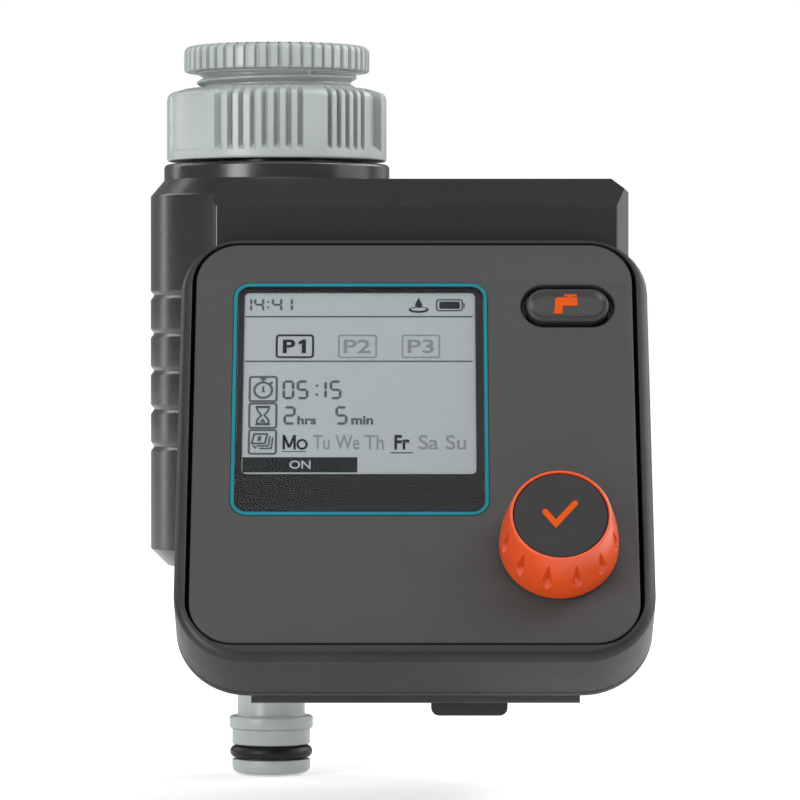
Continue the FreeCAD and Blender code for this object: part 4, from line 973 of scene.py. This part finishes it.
def stopwatch(row):
    a, b = sum(ICON_U) / 2, sum(row) / 2 - 0.25
    strokes = [bar((a, b + 1.95), (a, b + 2.4), 0.5), bar((a - 0.6, b + 2.5), (a + 0.6, b + 2.5), 0.4),
               bar((a + 1.35, b + 1.4), (a + 1.8, b + 1.85), 0.5), bar((a, b - 0.35), (a, b + 0.85), 0.4),
               bar((a - 0.3, b - 0.25), (a + 0.35, b - 0.25), 0.35)]
    return [ink(stroke(circle((a, b), 1.72, 40), 0.48, True))] + [ink([part]) for part in strokes]


def hourglass(row):
    a, b = sum(ICON_U) / 2, sum(row) / 2
    glass = [(a - 1.15, b + 1.85), (a + 1.15, b + 1.85), (a + 1.05, b + 1.1), (a + 0.3, b + 0.1),
             (a + 1.1, b - 0.95), (a + 1.15, b - 1.8), (a - 1.15, b - 1.8), (a - 1.1, b - 0.95),
             (a - 0.3, b + 0.1), (a - 1.05, b + 1.1)]
    sand = [(a - 0.65, b - 1.5), (a + 0.65, b - 1.5), (a, b - 0.6)]
    rims = [bar((a - 1.45, v), (a + 1.45, v), 0.42) for v in (b + 2.0, b - 1.95)]
    return [ink(stroke(glass, 0.4, True)), ink([sand])] + [ink([rim]) for rim in rims]


def calendar(row):
    """Leaning sheet with a row of marks, and two more sheets behind it."""
    a, b = sum(ICON_U) / 2 - 0.3, sum(row) / 2
    sheet = [(a - 1.3, b + 1.75), (a + 1.2, b + 1.75), (a + 0.8, b - 0.35), (a - 1.8, b - 0.35)]
    parts = [ink(stroke(sheet, 0.42, True)), ink([bar((a - 0.15, b + 1.3), (a - 0.4, b + 0.2), 0.7)])]
    for step in (0.55, 1.1):
        edge = [(a + 1.2 + step, b + 1.6 - step * 0.55), (a + 0.9 + step, b - 0.35 - step),
                (a - 1.4 + step, b - 0.35 - step)]
        parts.append(ink(stroke(edge, 0.36)))
    parts.append(ink([bar((a - 1.55, b - 0.75), (a - 0.9, b - 1.45), 0.4)]))
    return parts


def drop_and_ripple():
    drop = [(0.88, 32.6), (1.15, 31.9), (1.5, 31.2), (1.62, 30.75), (1.45, 30.35), (0.88, 30.15),
            (0.3, 30.35), (0.12, 30.75), (0.26, 31.2), (0.6, 31.9)]
    return [ink([drop]), ink([circle((0.88, 29.72), 1.98, 40, 0.36), circle((0.88, 29.86), 1.5, 40, 0.26)])]


def dark_ink():
    """The chosen programme, the battery's charge and the bar at the display's foot."""
    parts = [framed((-27.2, -19.65), (18.72, 24.1), 0.75, 0.42),
             lettering("P", (-25.8, -23.35), PROGRAMME_LETTERS, 0.03),
             ink([[(-22.75, 21.7), (-22.75, 22.3), (-21.95, 22.95), (-21.25, 22.95), (-21.25, 19.85),
                   (-22.1, 19.85), (-22.1, 22.05)]]),
             ink([flat_box((4.95, 9.0), (29.95, 31.6), 0.25)]),
             *capital_m((-25.6, -23.0), DAY_ROW, 0.5),
             ink(stroke(circle((-21.8, -0.6), 0.88, 28, 1.12), 0.46, True)),
             lettering("Fr", (-3.9, -0.9), DAY_ROW, 0.03),
             ink([flat_box((-33.3, -11.05), (-6.8, -3.45), 0.1)])]
    return joined("display_ink", parts + drop_and_ripple())


def middle_ink():
    """Clock, times, icons and rules, which are printed a little thinner."""
    parts = digits(CLOCK_ROW, CLOCK_STROKE, (("1", (-33.6, -31.9)), ("4", (-31.6, -29.55)),
                                             ("4", (-28.1, -26.0)), ("1", (-25.8, -23.9))))
    parts += [ink([circle((-28.8, v), 0.24, 12)]) for v in (30.25, 31.5)]
    parts += [ink([flat_box((-33.2, 11.4), (v - 0.17, v + 0.17))]) for v in RULES_V]
    parts.append(ink([flat_box((4.25, 9.65), (29.35, 32.2), 0.7), flat_box((4.6, 9.3), (29.7, 31.85), 0.4)]))
    parts.append(ink([flat_box((9.7, 10.0), (30.2, 31.3), 0.12)]))

    for row in ICON_ROWS:
        parts.append(framed(ICON_U, row, 0.65, 0.44))
    parts += stopwatch(ICON_ROWS[0]) + hourglass(ICON_ROWS[1]) + calendar(ICON_ROWS[2])

    parts += digits(START_ROW, DIGIT_STROKE, (("0", (-25.75, -23.4)), ("5", (-23.0, -20.65)),
                                              ("1", (-19.3, -17.05)), ("5", (-16.55, -14.2))))
    parts += [ink([circle((-19.0, v), 0.28, 12)]) for v in (10.5, 12.5)]
    parts += digits(LENGTH_ROW, DIGIT_STROKE, (("2", (-25.5, -23.1)), ("5", (-15.4, -13.0))))
    parts.append(lettering("hrs", (-22.8, -19.1), UNIT_ROW, 0.035))
    parts.append(lettering("min", (-12.3, -8.0), UNIT_ROW, 0.035))
    parts.append(ink([bar((-25.6, -2.2), (-21.0, -2.2), 0.22)]))
    parts.append(ink([bar((-4.7, -2.45), (-0.3, -2.45), 0.28)]))
    return joined("display_ink_middle", parts)


def faint_ink():
    row = (18.72, 24.05)
    parts = [framed((-14.95, -7.3), row, 0.6, 0.34), framed((-2.5, 5.1), row, 0.6, 0.34),
             lettering("P2", (-13.85, -8.6), PROGRAMME_LETTERS, 0.015),
             lettering("P3", (-1.3, 3.85), PROGRAMME_LETTERS, 0.015)]
    for name, u in (("Tu", (-19.7, -16.45)), ("We", (-15.3, -10.65)), ("Th", (-9.7, -5.9)),
                    ("Sa", (0.8, 4.65)), ("Su", (6.1, 10.05))):
        parts.append(lettering(name, u, DAY_ROW, 0.012))
    return joined("display_ink_faint", parts)


piece("display_ink", dark_ink(), "control_unit", "ink_dark", smooth=30)
piece("display_ink_middle", middle_ink(), "control_unit", "ink_middle", smooth=30)
piece("display_ink_faint", faint_ink(), "control_unit", "ink_faint", smooth=30)
on_word = lettering("ON", (-24.2, -20.1), (-6.0, -4.2), 0.015)
on_word.transform(Matrix.Translation(PANEL_W * 0.03 * MM))
piece("display_word", on_word, "control_unit", "lcd_grey", smooth=30)


# ---- camera, floor and light -----------------------------------------------------------------
def softbox(name, place, aim, size, power):
    lamp = bpy.data.lights.new(name, "AREA")
    lamp.shape = "RECTANGLE"
    lamp.size, lamp.size_y = size
    lamp.energy = power
    obj = bpy.data.objects.new(name, lamp)
    bpy.context.scene.collection.objects.link(obj)
    obj.location = place
    obj.rotation_euler = (Vector(aim) - Vector(place)).to_track_quat("-Z", "Y").to_euler()
    obj.visible_camera = False


CAMERA_AT = (0.0256, -1.0, -0.0648)
CAMERA_DOWN = 0.489
CAMERA_LENS = 216.27
camera = bpy.data.cameras.new("camera")
camera.lens = CAMERA_LENS
camera.sensor_width = 36.0
camera_obj = bpy.data.objects.new("camera", camera)
bpy.context.scene.collection.objects.link(camera_obj)
camera_obj.location = CAMERA_AT
camera_obj.rotation_euler = (radians(90 - CAMERA_DOWN), 0, 0)
bpy.context.scene.camera = camera_obj

MIDDLE = (cad_box[0] + cad_box[1]) / 2
SHED = 0.28
FLOOR_HALF = 8.0
FLOOR_GAP = 0.0004


def seen_and_shed(tree):
    """Strength of a white backdrop: full where it is looked at, less where it lights things."""
    rays = tree.nodes.new("ShaderNodeLightPath")
    strength = tree.nodes.new("ShaderNodeMapRange")
    strength.inputs["To Min"].default_value = SHED
    strength.inputs["To Max"].default_value = 1.0
    tree.links.new(rays.outputs["Is Camera Ray"], strength.inputs["Value"])
    return strength


def floor():
    """Pale sweep: plain below the object, and paler far off, where it meets the surroundings."""
    half, level = FLOOR_HALF, cad_box[0].z - FLOOR_GAP
    mesh = bpy.data.meshes.new("floor")
    mesh.from_pydata([(-half, -half, level), (half, -half, level), (half, half, level),
                      (-half, half, level)], [], [(0, 1, 2, 3)])
    obj = bpy.data.objects.new("floor", mesh)
    bpy.context.scene.collection.objects.link(obj)
    nodes = Nodes("floor_white")
    nodes.join(nodes.blended(nodes.noise(400.0), (0.80, 0.80, 0.80), (0.83, 0.83, 0.83)),
               nodes.shader.inputs["Base Color"])
    nodes.shader.inputs["Roughness"].default_value = 0.9
    nodes.shader.inputs["Emission Color"].default_value = (1, 1, 1, 1)
    away = nodes.add("ShaderNodeVectorMath", operation="LENGTH")
    nodes.join(nodes.place, away.inputs[0])
    glow = nodes.ranged(away.outputs["Value"], 0.45, 1.0, 0.25, 1.0)
    split = seen_and_shed(nodes.tree)
    nodes.join(glow, split.inputs["To Max"])
    nodes.join(split.outputs["Result"], nodes.shader.inputs["Emission Strength"])
    mesh.materials.append(nodes.material)


def surroundings():
    """White all round, which lights the object less than its own brightness."""
    world = bpy.data.worlds.new("studio")
    world.use_nodes = True
    background = world.node_tree.nodes["Background"]
    background.inputs["Color"].default_value = (1, 1, 1, 1)
    split = seen_and_shed(world.node_tree)
    world.node_tree.links.new(split.outputs["Result"], background.inputs["Strength"])
    bpy.context.scene.world = world


def around(azimuth, elevation, distance):
    """Place round the object, counted from the front towards its right."""
    a, e = radians(azimuth), radians(elevation)
    return MIDDLE + distance * Vector((sin(a) * cos(e), -cos(a) * cos(e), sin(e)))


floor()
surroundings()
bpy.context.scene.view_settings.view_transform = "Standard"

# Each softbox: name, azimuth and elevation in degrees, size in metres, power in watts.
SOFTBOXES = (("overhead", (0, 62), (1.0, 0.8), 3.6),
             ("left_front_strip", (-41, 8), (0.34, 0.9), 8.2),
             ("left_back_strip", (-124, 5), (0.13, 0.9), 1.0),
             ("left_high", (-112, 30), (0.8, 0.4), 1.9),
             ("right_side", (88, 6), (0.8, 0.8), 3.4),
             ("right_back", (137, 5), (0.4, 0.8), 0.7),
             ("right_high", (112, 30), (0.9, 0.5), 5.5),
             ("right_above", (68, 44), (0.42, 0.36), 3.0))
LAMP_DISTANCE = 1.0
for name, direction, size, power in SOFTBOXES:
    softbox(name, around(*direction, LAMP_DISTANCE), MIDDLE, size, power)
